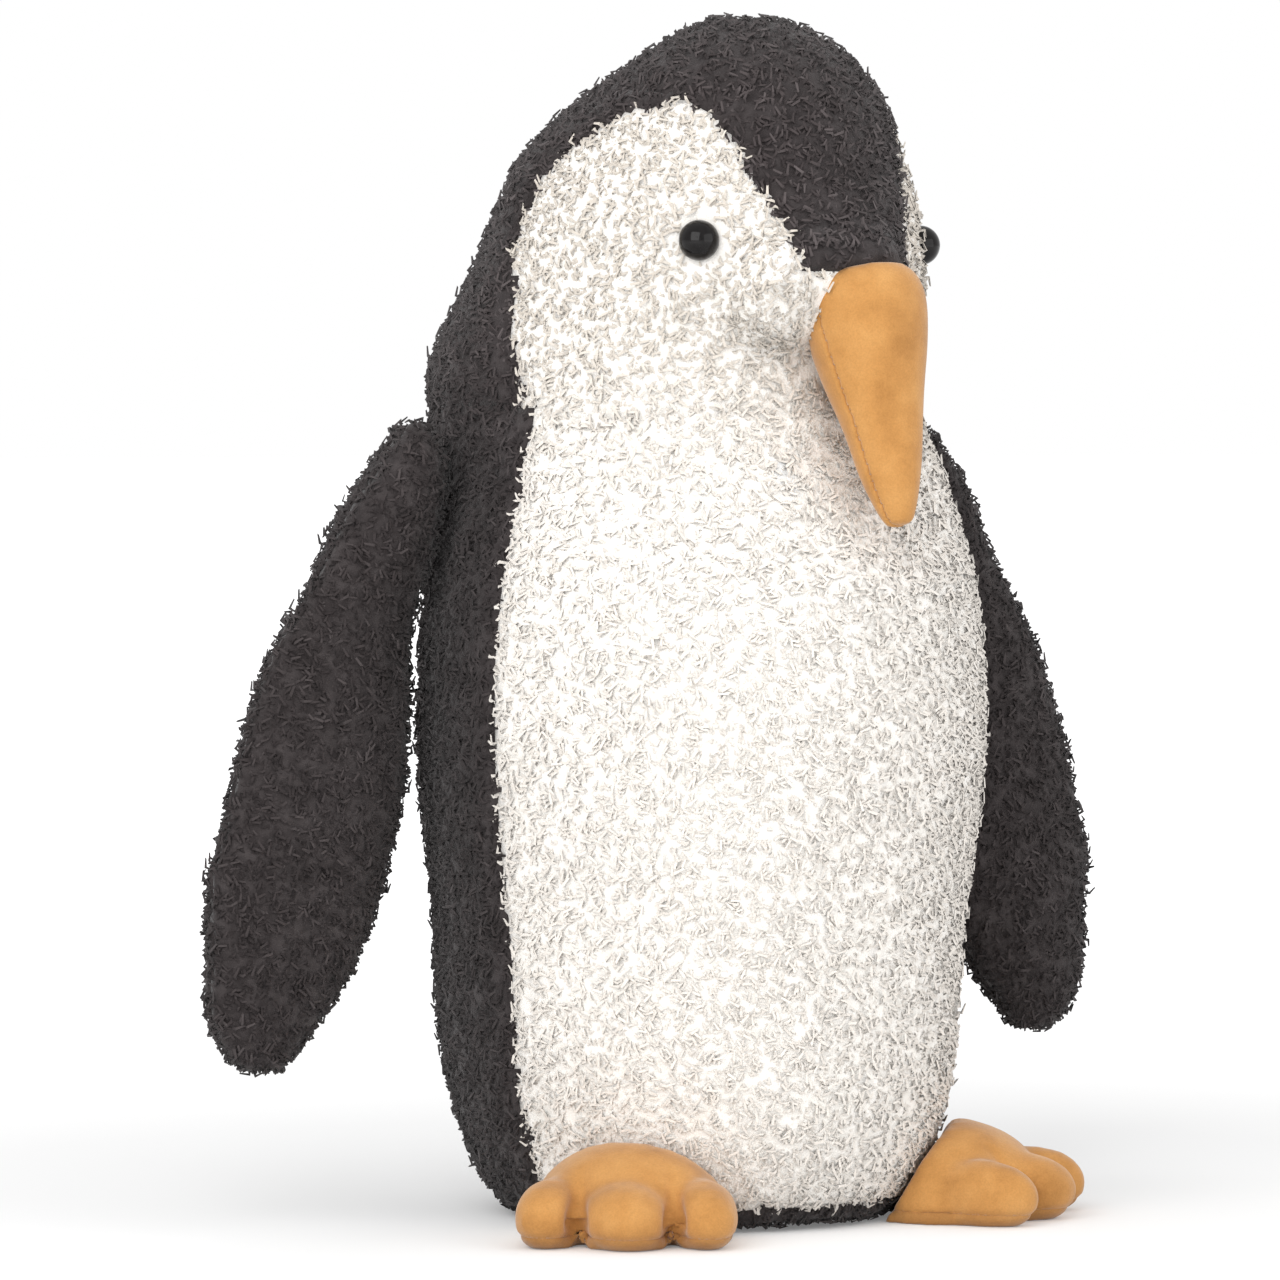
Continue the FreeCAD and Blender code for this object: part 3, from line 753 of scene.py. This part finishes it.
class Pile:
    """The curly pile that grows on one panel of a skin."""

    def __init__(self, cut: PileCut, seed: int) -> None:
        """Prepares the locks.

        Args:
            cut: How the pile is cut.
            seed: Seeds its scatter.
        """
        self.cut = cut
        self.draw = np.random.default_rng(seed)
        self.locks = [Lock(curl, cut.thickness) for curl in CURLS]

    def scattered(
        self, corners: np.ndarray, normals: np.ndarray, density: float
    ) -> tuple[np.ndarray, np.ndarray]:
        """Spreads points evenly over triangles.

        Args:
            corners: The triangles, n by 3 by 3.
            normals: Their corners' normals, likewise.
            density: Points in a square metre.

        Returns:
            The points and the surface's normals there.
        """
        sides = np.cross(corners[:, 1] - corners[:, 0], corners[:, 2] - corners[:, 0])
        reach = np.cumsum(np.linalg.norm(sides, axis=1) / 2.0)
        count = max(1, int(reach[-1] * density))
        spots = (np.arange(count) + self.draw.random(count)) / count * reach[-1]
        chosen = np.searchsorted(reach, spots).clip(0, len(corners) - 1)
        first, second = np.sqrt(self.draw.random(count)), self.draw.random(count)
        shares = np.stack([1 - first, first * (1 - second), first * second], axis=1)[:, :, None]
        points, ups = (corners[chosen] * shares).sum(1), (normals[chosen] * shares).sum(1)
        return points, ups / np.linalg.norm(ups, axis=1, keepdims=True)

    def grown(
        self, name: str, faces: list[bmesh.types.BMFace], material: bpy.types.Material
    ) -> bpy.types.Object:
        """Grows the pile on some faces.

        Args:
            name: The piece's name.
            faces: Where it grows.
            material: What it is made of.

        Returns:
            The pile, as one object.
        """
        triangles = [
            (loops[0].vert, loops[i].vert, loops[i + 1].vert)
            for loops in (face.loops for face in faces)
            for i in range(1, len(loops) - 1)
        ]
        corners = np.array([[v.co for v in t] for t in triangles])
        normals = np.array([[v.normal for v in t] for t in triangles])
        roots, ups = self.scattered(corners, normals, self.cut.locks_per_mm2 / MM**2)
        clumps, _ = self.scattered(corners, normals, 1.0 / (self.cut.clump_mm2 * MM**2))
        finder = KDTree(len(clumps))
        for i, place in enumerate(clumps):
            finder.insert(place, i)
        finder.balance()
        mine = np.array([finder.find(root)[1] for root in roots])
        pull = (clumps[mine] - roots) / self.cut.clump_reach
        lean = self.draw.normal(0.0, self.cut.lean, roots.shape)
        rise = ups + self.cut.clumping * pull + lean - np.array(UP) * self.cut.droop
        rise = Fringe().combed(roots, rise)
        rise /= np.linalg.norm(rise, axis=1, keepdims=True)
        tone = 0.5 + self.draw.normal(0.0, self.cut.clump_tone, len(clumps))[mine]
        tone += self.draw.normal(0.0, self.cut.lock_tone, len(roots))
        free = clear_of_parts(roots + ups * self.cut.height) & clear_of_parts(roots + rise * self.cut.height)
        roots = roots - ups * self.cut.root_inset
        return self.repeated(name, roots[free], ups[free], rise[free], tone.clip(0.0, 1.0)[free], material)

    def repeated(
        self, name: str, roots: np.ndarray, ups: np.ndarray, rise: np.ndarray, tone: np.ndarray,
        material: bpy.types.Material,
    ) -> bpy.types.Object:
        """Stands a lock at every root.

        Args:
            name: The piece's name.
            roots: Where the locks start.
            ups: The skin's normals there.
            rise: Which way each lock starts.
            tone: How bright each is, from 0 to 1.
            material: What they are made of.

        Returns:
            All the locks as one object.
        """
        count = len(roots)
        spin = self.draw.random(count) * 2.0 * math.pi
        scale = self.cut.length * self.draw.uniform(*self.cut.uneven, count)
        kind = self.draw.integers(0, len(self.locks), count)
        turned = self.turned(rise, spin)
        verts = self.placed("verts", kind, turned * scale[:, None, None]) + roots[:, None, :]
        mesh = self.joined(name, self.above_table(verts))
        per = verts.shape[1]
        self.mark(mesh, "tone", np.repeat(tone, per))
        self.mark(mesh, "along", np.tile(self.locks[0].along, count))
        self.lay_out(mesh, count)
        mesh.materials.append(material)
        mesh.shade_smooth()
        soft = self.cut.softness
        mixed = self.placed("sides", kind, turned) * (1.0 - soft) + ups[:, None, :] * soft
        mixed /= np.linalg.norm(mixed, axis=2, keepdims=True)
        mesh.normals_split_custom_set_from_vertices(mixed.reshape(-1, 3))
        piece = bpy.data.objects.new(name, mesh)
        bpy.context.scene.collection.objects.link(piece)
        return piece

    @staticmethod
    def turned(rise: np.ndarray, spin: np.ndarray) -> np.ndarray:
        """The three axes of each lock.

        Args:
            rise: Which way each starts.
            spin: How far each is turned about that.

        Returns:
            The axes, n by 3 by 3.
        """
        side = np.cross(rise, np.where(np.abs(rise[:, 2:]) < 0.9, (0.0, 0.0, 1.0), (1.0, 0.0, 0.0)))
        side /= np.linalg.norm(side, axis=1, keepdims=True)
        third = np.cross(rise, side)
        turned = side * np.cos(spin)[:, None] + third * np.sin(spin)[:, None]
        return np.stack([turned, np.cross(rise, turned), rise], axis=1)

    def placed(self, what: str, kind: np.ndarray, axes: np.ndarray) -> np.ndarray:
        """Turns each lock onto its axes.

        Args:
            what: Either verts or sides.
            kind: Which lock each is.
            axes: The axes of each.

        Returns:
            The turned vectors, n by the vertices of a lock by 3.
        """
        shapes = np.stack([getattr(lock, what) for lock in self.locks])[kind]
        return np.einsum("nvi,nij->nvj", shapes, axes)

    @staticmethod
    def above_table(verts: np.ndarray) -> np.ndarray:
        """Presses flat what would hang to the table, in place."""
        low = verts[:, :, 2]
        pressed = FLAT_UNDER * np.exp((np.minimum(low, FLAT_UNDER) - FLAT_UNDER) / FLAT_UNDER)
        verts[:, :, 2] = np.where(low < FLAT_UNDER, pressed, low)
        return verts

    def joined(self, name: str, verts: np.ndarray) -> bpy.types.Mesh:
        """Makes one mesh of all the locks.

        Args:
            name: The mesh's name.
            verts: Their vertices, n by the vertices of a lock by 3.

        Returns:
            The mesh.
        """
        count, per = verts.shape[:2]
        lock = self.locks[0]
        mesh = bpy.data.meshes.new(name)
        mesh.vertices.add(count * per)
        mesh.vertices.foreach_set("co", verts.astype(np.float32).ravel())
        corners = (lock.corners[None, :] + np.arange(count)[:, None] * per).ravel()
        mesh.loops.add(len(corners))
        mesh.loops.foreach_set("vertex_index", corners.astype(np.int32))
        sizes = np.tile(lock.sizes, count)
        mesh.polygons.add(len(sizes))
        starts = np.concatenate([[0], np.cumsum(sizes)[:-1]])
        mesh.polygons.foreach_set("loop_start", starts.astype(np.int32))
        mesh.update(calc_edges=True)
        return mesh

    def lay_out(self, mesh: bpy.types.Mesh, count: int) -> None:
        """Lays each lock out in a cell of its own, for baking.

        Args:
            mesh: The locks.
            count: How many there are.
        """
        columns = math.ceil(math.sqrt(count))
        cell = np.stack([np.arange(count) % columns, np.arange(count) // columns], axis=1)[:, None, :]
        places = (cell + CELL_MARGIN + self.locks[0].map[None, :, :] * (1.0 - 2.0 * CELL_MARGIN)) / columns
        mesh.uv_layers.new(name=BAKE_MAP).data.foreach_set("uv", places.astype(np.float32).ravel())

    @staticmethod
    def mark(mesh: bpy.types.Mesh, name: str, values: np.ndarray) -> None:
        """Stores one number for each vertex."""
        mesh.attributes.new(name, "FLOAT", "POINT").data.foreach_set("value", values.astype(np.float32))


# ---------------------------------------------------------------- sub-assemblies


@dataclass
class Skin:
    """A stuffed skin of sewn panels, each with its pile."""

    name: str
    panels: dict[str, Cloth]
    solids: list[str]
    voxel: float = 2.3 * MM
    smooths: int = 6
    inset: float = 2.1 * MM
    cloth: float = 1.2 * MM
    seam_depth: float = 0.9 * MM
    lump: float = 1.2 * MM
    lump_size: float = 34.0 * MM
    puffs: tuple[Puff, ...] = ()
    cut: PileCut = field(default_factory=PileCut)
    seed: int = 1
    above_table: float = 0.4 * MM

    def build(self) -> list[bpy.types.Object]:
        """Makes the panels and their pile.

        Returns:
            All the pieces, still riding on nothing.
        """
        bm = softened(node_copies(*self.solids), self.voxel, self.smooths, self.inset)
        lumpy(bm, self.lump, self.lump_size, self.seed)
        keep_above(bm, self.above_table)
        chooser = PanelMap(list(self.panels))
        bm.faces.ensure_lookup_table()
        bm.normal_update()
        owners = {
            face: chooser.panel_at(face.calc_center_median() + face.normal * self.inset) for face in bm.faces
        }
        for puff in self.puffs:
            puff.press(bm)
        self.sink_seams(bm, owners)
        bm.normal_update()
        pieces = []
        for number, (panel, cloth) in enumerate(self.panels.items()):
            faces = [face for face in bm.faces if owners[face] == number]
            if not faces:
                raise ValueError(f"no skin falls to {panel}")
            pieces.append(self.backing(faces, panel, cloth))
            pieces += self.pile(faces, panel, cloth, self.seed * 100 + number)
        bm.free()
        return pieces

    def sink_seams(self, bm: bmesh.types.BMesh, owners: dict[bmesh.types.BMFace, int]) -> None:
        """Pulls the skin in where two panels are sewn together.

        Args:
            bm: The skin.
            owners: Which panel each face belongs to.
        """
        bm.normal_update()
        on_seam = seam_between(bm, owners)
        beside = {e.other_vert(v) for v in on_seam for e in v.link_edges} - on_seam
        for verts, share in ((on_seam, 1.0), (beside, 0.5)):
            for vert in verts:
                vert.co -= vert.normal * self.seam_depth * share

    def backing(self, faces: list[bmesh.types.BMFace], panel: str, cloth: Cloth) -> bpy.types.Object:
        """The knitted cloth of one panel, a closed shell.

        Args:
            faces: The panel's faces.
            panel: Its name.
            cloth: Its colour.

        Returns:
            The panel.
        """
        piece = finished(f"{panel}_cloth", shell(faces, self.cloth), palette(BACKINGS[cloth]))
        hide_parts(panel)
        return piece

    def pile(
        self, faces: list[bmesh.types.BMFace], panel: str, cloth: Cloth, seed: int
    ) -> list[bpy.types.Object]:
        """The pile of one panel, in level bands where there is much of it.

        Args:
            faces: The panel's faces.
            panel: Its name.
            cloth: Its colour.
            seed: Seeds its scatter.

        Returns:
            One piece for each band.
        """
        ranked = sorted(faces, key=lambda face: face.calc_center_median().z)
        reach = np.cumsum([face.calc_area() for face in ranked])
        bands = math.ceil(reach[-1] / MM**2 * self.cut.locks_per_mm2 / LOCKS_IN_PIECE)
        ends = np.searchsorted(reach, reach[-1] * np.arange(1, bands + 1) / bands)
        made, start = [], 0
        for number, end in enumerate(ends, start=1):
            name = f"{panel}_pile_{number}"
            piece = Pile(self.cut, seed * 10 + number).grown(name, ranked[start:end], palette(PILES[cloth]))
            made.append(piece)
            start = end
        return made


def bending(pieces: list[bpy.types.Object], near: str, far: str) -> None:
    """Bakes each piece's place into its mesh and logs the two bodies named for it; nothing here makes the
    pieces bend.

    Args:
        pieces: The pieces.
        near: The first body named in the log.
        far: The second body named in the log.
    """
    for piece in pieces:
        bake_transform(piece)
        log.info("%s bends between %s and %s, %d faces", piece.name, near, far, len(piece.data.polygons))


BODY_PUFFS = (
    Puff(Vector((37, 32, 206)) * MM, Vector((52, 52, 66)) * MM, Vector((3.8, 2.6, 0)) * MM),
    Puff(Vector((6, -40, 196)) * MM, Vector((17, 30, 16)) * MM, Vector((2.6, -5.8, -1)) * MM),
    Puff(Vector((14, -46, 152)) * MM, Vector((36, 36, 20)) * MM, Vector((0, 3.2, 0)) * MM),
    Puff(Vector((25, -36, 205)) * MM, Vector((10, 10, 10)) * MM, Vector((-0.3, 0.3, 0)) * MM),
)


@dataclass
class Body:
    """The torso and the head in one soft skin."""

    torso_panels: dict[str, Cloth] = field(
        default_factory=lambda: {
            "belly_panel": Cloth.WHITE, "back_panel_left": Cloth.CHARCOAL,
            "back_panel_right": Cloth.CHARCOAL, "base_panel": Cloth.CHARCOAL,
        }
    )
    head_panels: dict[str, Cloth] = field(
        default_factory=lambda: {
            "face_panel_left": Cloth.WHITE, "face_panel_right": Cloth.WHITE, "hood_side_left": Cloth.CHARCOAL,
            "hood_side_right": Cloth.CHARCOAL, "crown_gusset": Cloth.CHARCOAL,
        }
    )
    twist_half: float = 22.0 * MM

    def build(self) -> None:
        """Makes the skin of the torso and the head, and bakes its pieces in place."""
        panels = self.torso_panels | self.head_panels
        solids = [*panels, "torso_stuffing", "head_stuffing", "bean_pouch"]
        pieces = Skin("body", panels, solids, puffs=BODY_PUFFS, seed=3).build()
        bending(pieces, "torso", "head")


@dataclass
class Pouch:
    """The thin cotton pouch that holds the pellets, pressed out unevenly by them."""

    node: str = "bean_pouch"
    inset: float = 0.1 * MM
    cotton: float = 0.4 * MM
    dent: float = 0.5 * MM
    pellet: float = 5.0 * MM
    squareness: float = 4.0

    def build(self) -> None:
        """Makes the pouch round the room that it has in the stuffing."""
        low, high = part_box(self.node)
        bm = bmesh.new()
        radius, half = (high.x - low.x) / 2.0 - self.inset, (high.z - low.z) / 2.0 - self.inset
        bmesh.ops.create_uvsphere(bm, u_segments=72, v_segments=36, radius=1.0)
        for vert in bm.verts:
            flat = math.hypot(vert.co.x, vert.co.y)
            drum = (flat**self.squareness + abs(vert.co.z) ** self.squareness) ** (1.0 / self.squareness)
            vert.co = Vector((vert.co.x * radius, vert.co.y * radius, vert.co.z * half)) / drum
            vert.co.z += (low.z + high.z) / 2.0
        bm.normal_update()
        start = Vector((3.0, 1.0, 2.0))
        for vert in bm.verts:
            pressed = 0.5 + 0.5 * noise.noise(vert.co / self.pellet + start)
            vert.co -= vert.normal * self.dent * pressed
        bm.normal_update()
        piece = finished("bean_pouch_cotton", shell(bm.faces[:], self.cotton), palette(POUCH))
        bm.free()
        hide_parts(self.node)
        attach(piece, "torso")
        log.info("%s rides on torso", piece.name)


@dataclass
class Filling:
    """Loose fibre, matted into the shape of the skin round it."""

    node: str
    body: str
    inset: float = 2.6 * MM
    voxel: float = 1.4 * MM
    smooths: int = 6
    lump: float = 0.9 * MM
    lump_size: float = 14.0 * MM
    puffs: tuple[Puff, ...] = ()

    def build(self) -> None:
        """Makes the lumpy filling in place of the plain solid."""
        bm = softened(node_copies(self.node), self.voxel, self.smooths, self.inset)
        for puff in self.puffs:
            puff.press(bm)
        lumpy(bm, self.lump, self.lump_size, 2.0)
        bm.normal_update()
        piece = finished(f"{self.node}_fibre", bm, palette(FIBRE))
        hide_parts(self.node)
        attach(piece, self.body)
        log.info("%s rides on %s", piece.name, self.body)


FLIPPER_PUFFS = (
    Puff(Vector((90, 0, 30)) * MM, Vector((300, 300, 95)) * MM, Vector((0, -3, -3.2)) * MM),
    Puff(Vector((106, 0, 100)) * MM, Vector((32, 60, 50)) * MM, Vector((3.2, 0, 0)) * MM),
    Puff(Vector((96, 0, 38)) * MM, Vector((80, 80, 42)) * MM, Vector((-2.5, 0, 0)) * MM),
)


@dataclass
class Flipper:
    """One flipper, sewn flat and lightly stuffed."""

    side: Side
    bend_above: float = 3.0 * MM
    bend_below: float = 26.0 * MM

    def build(self) -> None:
        """Makes the flipper's two panels and bakes them in place."""
        name = f"flipper_{self.side.value}"
        panels = {f"{name}_front": Cloth.CHARCOAL, f"{name}_back": Cloth.CHARCOAL}
        skin = Skin(
            name, panels, [*panels, f"{name}_stuffing"], voxel=2.4 * MM, smooths=4, inset=1.2 * MM,
            lump=0.8 * MM, lump_size=20.0 * MM, seed=7 + self.side.hand, puffs=FLIPPER_PUFFS,
        )
        bending(skin.build(), "torso", name)


FILLINGS = [
    Filling("beak_stuffing", "head", inset=1.2 * MM),
    Filling("flipper_left_stuffing", "flipper_left", puffs=FLIPPER_PUFFS),
    Filling("flipper_right_stuffing", "flipper_right", puffs=FLIPPER_PUFFS),
    Filling("foot_left_stuffing", "foot_left"),
    Filling("foot_right_stuffing", "foot_right"),
    Filling("head_stuffing", "head", inset=2.4 * MM, voxel=3.0 * MM),
    Filling("torso_stuffing", "torso", inset=2.4 * MM, voxel=3.0 * MM),
]


SUEDE_THICKNESS = 1.0 * MM


def suede_piece(node: str, faces: list[bmesh.types.BMFace], finish: SuedeFinish, body: str) -> None:
    """Makes one panel of suede cloth.

    Args:
        node: The CAD node that it stands for.
        faces: The panel's outside.
        finish: Its finish.
        body: The body that it rides on.
    """
    piece = finished(f"{node}_suede", shell(faces, SUEDE_THICKNESS), palette(finish))
    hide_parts(node)
    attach(piece, body)
    log.info("%s rides on %s", piece.name, body)


@dataclass
class Foot:
    """One suede foot: a puffed upper over a flat sole."""

    side: Side
    voxel: float = 1.3 * MM
    smooths: int = 8
    swell: float = 0.5 * MM
    seam_height: float = 2.6 * MM
    groove: float = 0.5 * MM
    groove_half: float = 1.0 * MM
    lump: float = 0.5 * MM
    lump_size: float = 11.0 * MM
    cleft_off_middle: float = 8.8 * MM
    cleft_width: float = 1.4 * MM
    cleft_depth: float = 5.0 * MM
    cleft_top: float = 15.0 * MM
    cleft_start: float = 2.0 * MM
    cleft_run: float = 12.0 * MM
    cleft_spread: float = 10.0

    def build(self) -> None:
        """Makes the upper and the sole, which meet at a sewn groove."""
        name = f"foot_{self.side.value}"
        solids = [f"{name}_upper", f"{name}_sole", f"{name}_stuffing"]
        bm = refined(softened(node_copies(*solids), self.voxel, self.smooths, -self.swell))
        lumpy(bm, self.lump, self.lump_size, 5 + self.side.hand)
        self.part_toes(bm)
        keep_above(bm, 0.1 * MM)
        sewn = Vector((0.0, 0.0, self.seam_height))
        whole = bm.verts[:] + bm.edges[:] + bm.faces[:]
        bmesh.ops.bisect_plane(bm, geom=whole, plane_co=sewn, plane_no=UP)
        bm.normal_update()
        for vert in bm.verts:
            nearness = 1.0 - min(1.0, abs(vert.co.z - self.seam_height) / self.groove_half)
            vert.co -= Vector((vert.normal.x, vert.normal.y, 0.0)) * self.groove * nearness
        bm.normal_update()
        for word, finish in (("upper", OCHRE_SUEDE), ("sole", SOLE_SUEDE)):
            above = word == "upper"
            faces = [f for f in bm.faces if (f.calc_center_median().z > self.seam_height) == above]
            suede_piece(f"{name}_{word}", faces, finish, name)
        bm.free()

    def part_toes(self, bm: bmesh.types.BMesh) -> None:
        """Presses two clefts in between the three toes, deepest at their tips.

        Args:
            bm: The foot's skin.
        """
        hinge = joint(f"foot_{self.side.value}_flex")
        across = Vector(hinge["axis"])
        ahead = across.cross(UP)
        if ahead.y > 0.0:
            ahead = -ahead
        start = Vector(hinge["pos_m"])
        bm.normal_update()
        for vert in bm.verts:
            off = vert.co - start
            side, front = off.dot(across), off.dot(ahead)
            depth = min(1.0, max(0.0, (front - self.cleft_start) / self.cleft_run)) * self.cleft_depth
            depth *= min(1.0, max(0.3, 1.2 - vert.co.z / self.cleft_top))
            for line in (-self.cleft_off_middle, self.cleft_off_middle):
                reach = (side - line * (1.0 + self.cleft_spread * front)) / self.cleft_width
                vert.co -= vert.normal * depth * math.exp(-reach * reach)


@dataclass
class Beak:
    """The suede beak, sewn of two panels that meet at its sides."""

    voxel: float = 1.1 * MM
    smooths: int = 6
    swell: float = 0.2 * MM
    seam_depth: float = 0.45 * MM
    lump: float = 0.3 * MM
    lump_size: float = 12.0 * MM

    def build(self) -> None:
        """Makes the two panels."""
        solids = ["beak_upper", "beak_lower", "beak_stuffing"]
        bm = refined(softened(node_copies(*solids), self.voxel, self.smooths, -self.swell))
        lumpy(bm, self.lump, self.lump_size, 11.0)
        chooser = PanelMap(["beak_upper", "beak_lower"])
        owners = {face: chooser.panel_at(face.calc_center_median()) for face in bm.faces}
        bm.normal_update()
        for vert in seam_between(bm, owners):
            vert.co -= vert.normal * self.seam_depth
        bm.normal_update()
        for number, word in enumerate(("upper", "lower")):
            suede_piece(f"beak_{word}", [f for f in bm.faces if owners[f] == number], OCHRE_SUEDE, "head")
        bm.free()


# ---------------------------------------------------------------- the stage


@dataclass(frozen=True)
class Lamp:
    """A square soft light that faces the object."""

    name: str
    toward: float
    right: float
    up: float
    size: float
    power: float

    def build(self, toward: Vector, right: Vector) -> None:
        """Hangs the light.

        Args:
            toward: Level, from the object to the viewer.
            right: To the viewer's right.
        """
        data = bpy.data.lights.new(self.name, "AREA")
        data.shape, data.size, data.energy = "SQUARE", self.size, self.power
        lamp = bpy.data.objects.new(self.name, data)
        bpy.context.scene.collection.objects.link(lamp)
        lamp.location = toward * self.toward + right * self.right + UP * self.up
        lamp.rotation_euler = (UP * LIT_HEIGHT - lamp.location).to_track_quat("-Z", "Y").to_euler()


LIT_HEIGHT = 0.12
LAMPS = (
    Lamp("key", toward=1.2, right=-0.5, up=0.7, size=1.2, power=13.0),
    Lamp("fill", toward=0.9, right=1.3, up=0.3, size=1.6, power=10.0),
)


@dataclass(frozen=True)
class Stage:
    """A pale floor, plain soft light and the camera."""

    azimuth: float = -34.0
    distance: float = 1.491
    height: float = 0.167
    aim_side: float = -0.0127
    aim_height: float = 0.1215
    lens: float = 197.8
    floor_half: float = 30.0
    floor_tone: float = 0.8
    near: float = 0.2
    far: float = 0.9
    near_glow: float = 0.16
    far_glow: float = 0.6
    sky: float = 0.85

    def build(self) -> None:
        """Makes the floor, the lights and the camera."""
        self.floor()
        self.world()
        angle = math.radians(self.azimuth)
        right = Vector((math.cos(angle), math.sin(angle), 0.0))
        toward = Vector((math.sin(angle), -math.cos(angle), 0.0))
        data = bpy.data.cameras.new("camera")
        data.lens, data.clip_end = self.lens, 100.0
        camera = bpy.data.objects.new("camera", data)
        bpy.context.scene.collection.objects.link(camera)
        camera.location = toward * self.distance + UP * self.height
        aim = right * self.aim_side + UP * self.aim_height
        camera.rotation_euler = (aim - camera.location).to_track_quat("-Z", "Y").to_euler()
        bpy.context.scene.camera = camera
        for lamp in LAMPS:
            lamp.build(toward, right)

    @staticmethod
    def seen(shader: Shader) -> bpy.types.NodeSocket:
        """One where the camera, a gloss or a clear piece sees the surface, and none where it only lights."""
        path = shader.node("LightPath")
        first = shader.node("Math", operation="MAXIMUM")
        second = shader.node("Math", operation="MAXIMUM")
        shader.join(path.outputs["Is Camera Ray"], first.inputs[0])
        shader.join(path.outputs["Is Glossy Ray"], first.inputs[1])
        shader.join(first.outputs[0], second.inputs[0])
        shader.join(path.outputs["Is Transmission Ray"], second.inputs[1])
        return second.outputs[0]

    def floor(self) -> None:
        """Lays a wide white floor that keeps the object's shadow."""
        bm = bmesh.new()
        bmesh.ops.create_grid(bm, x_segments=1, y_segments=1, size=self.floor_half)
        shader = Shader("pale_floor")
        shader.plain(base_color=(*grey(self.floor_tone), 1.0), roughness=1.0, specular_ior_level=0.0)
        place = shader.node("TexCoord")
        away = shader.node("VectorMath", operation="LENGTH")
        shader.join(place.outputs["Object"], away.inputs[0])
        fade = shader.node("MapRange", from_min=self.near, from_max=self.far)
        fade.inputs["To Min"].default_value = self.near_glow
        fade.inputs["To Max"].default_value = self.far_glow
        shader.join(away.outputs["Value"], fade.inputs["Value"])
        glow = shader.node("Math", operation="MULTIPLY")
        shader.join(self.seen(shader), glow.inputs[0])
        shader.join(fade.outputs["Result"], glow.inputs[1])
        shader.principled.inputs["Emission Color"].default_value = (1.0, 1.0, 1.0, 1.0)
        shader.join(glow.outputs[0], shader.principled.inputs["Emission Strength"])
        finished("floor", bm, shader.material)

    def world(self) -> None:
        """Surrounds the object with even light, white where it is seen."""
        world = bpy.data.worlds.new("studio")
        bpy.context.scene.world = world
        world.use_nodes = True
        tree = world.node_tree
        background = next(n for n in tree.nodes if n.type == "BACKGROUND")
        background.inputs["Color"].default_value = (1.0, 1.0, 1.0, 1.0)
        path = tree.nodes.new("ShaderNodeLightPath")
        mix = tree.nodes.new("ShaderNodeMapRange")
        mix.inputs["To Min"].default_value, mix.inputs["To Max"].default_value = self.sky, 1.0
        tree.links.new(path.outputs["Is Camera Ray"], mix.inputs["Value"])
        tree.links.new(mix.outputs["Result"], background.inputs["Strength"])


def joint(name: str) -> dict:
    """The record of one joint."""
    return next(j for j in frame["joints"] if j["name"] == name)


def main() -> None:
    """Builds the penguin and its stage."""
    logging.basicConfig(level=logging.INFO, format="%(name)s: %(message)s")
    scene = bpy.context.scene
    scene.view_settings.view_transform = "Standard"
    Stage().build()
    Body().build()
    for side in Side:
        Flipper(side).build()
        Foot(side).build()
    Beak().build()
    Pouch().build()
    for filling in FILLINGS:
        filling.build()
    for node, piece in frame["nodes"].items():
        for slot in piece.material_slots:
            slot.material = palette(HARD_PARTS.get(node, FIBRE))


if __name__ == "__main__":
    main()
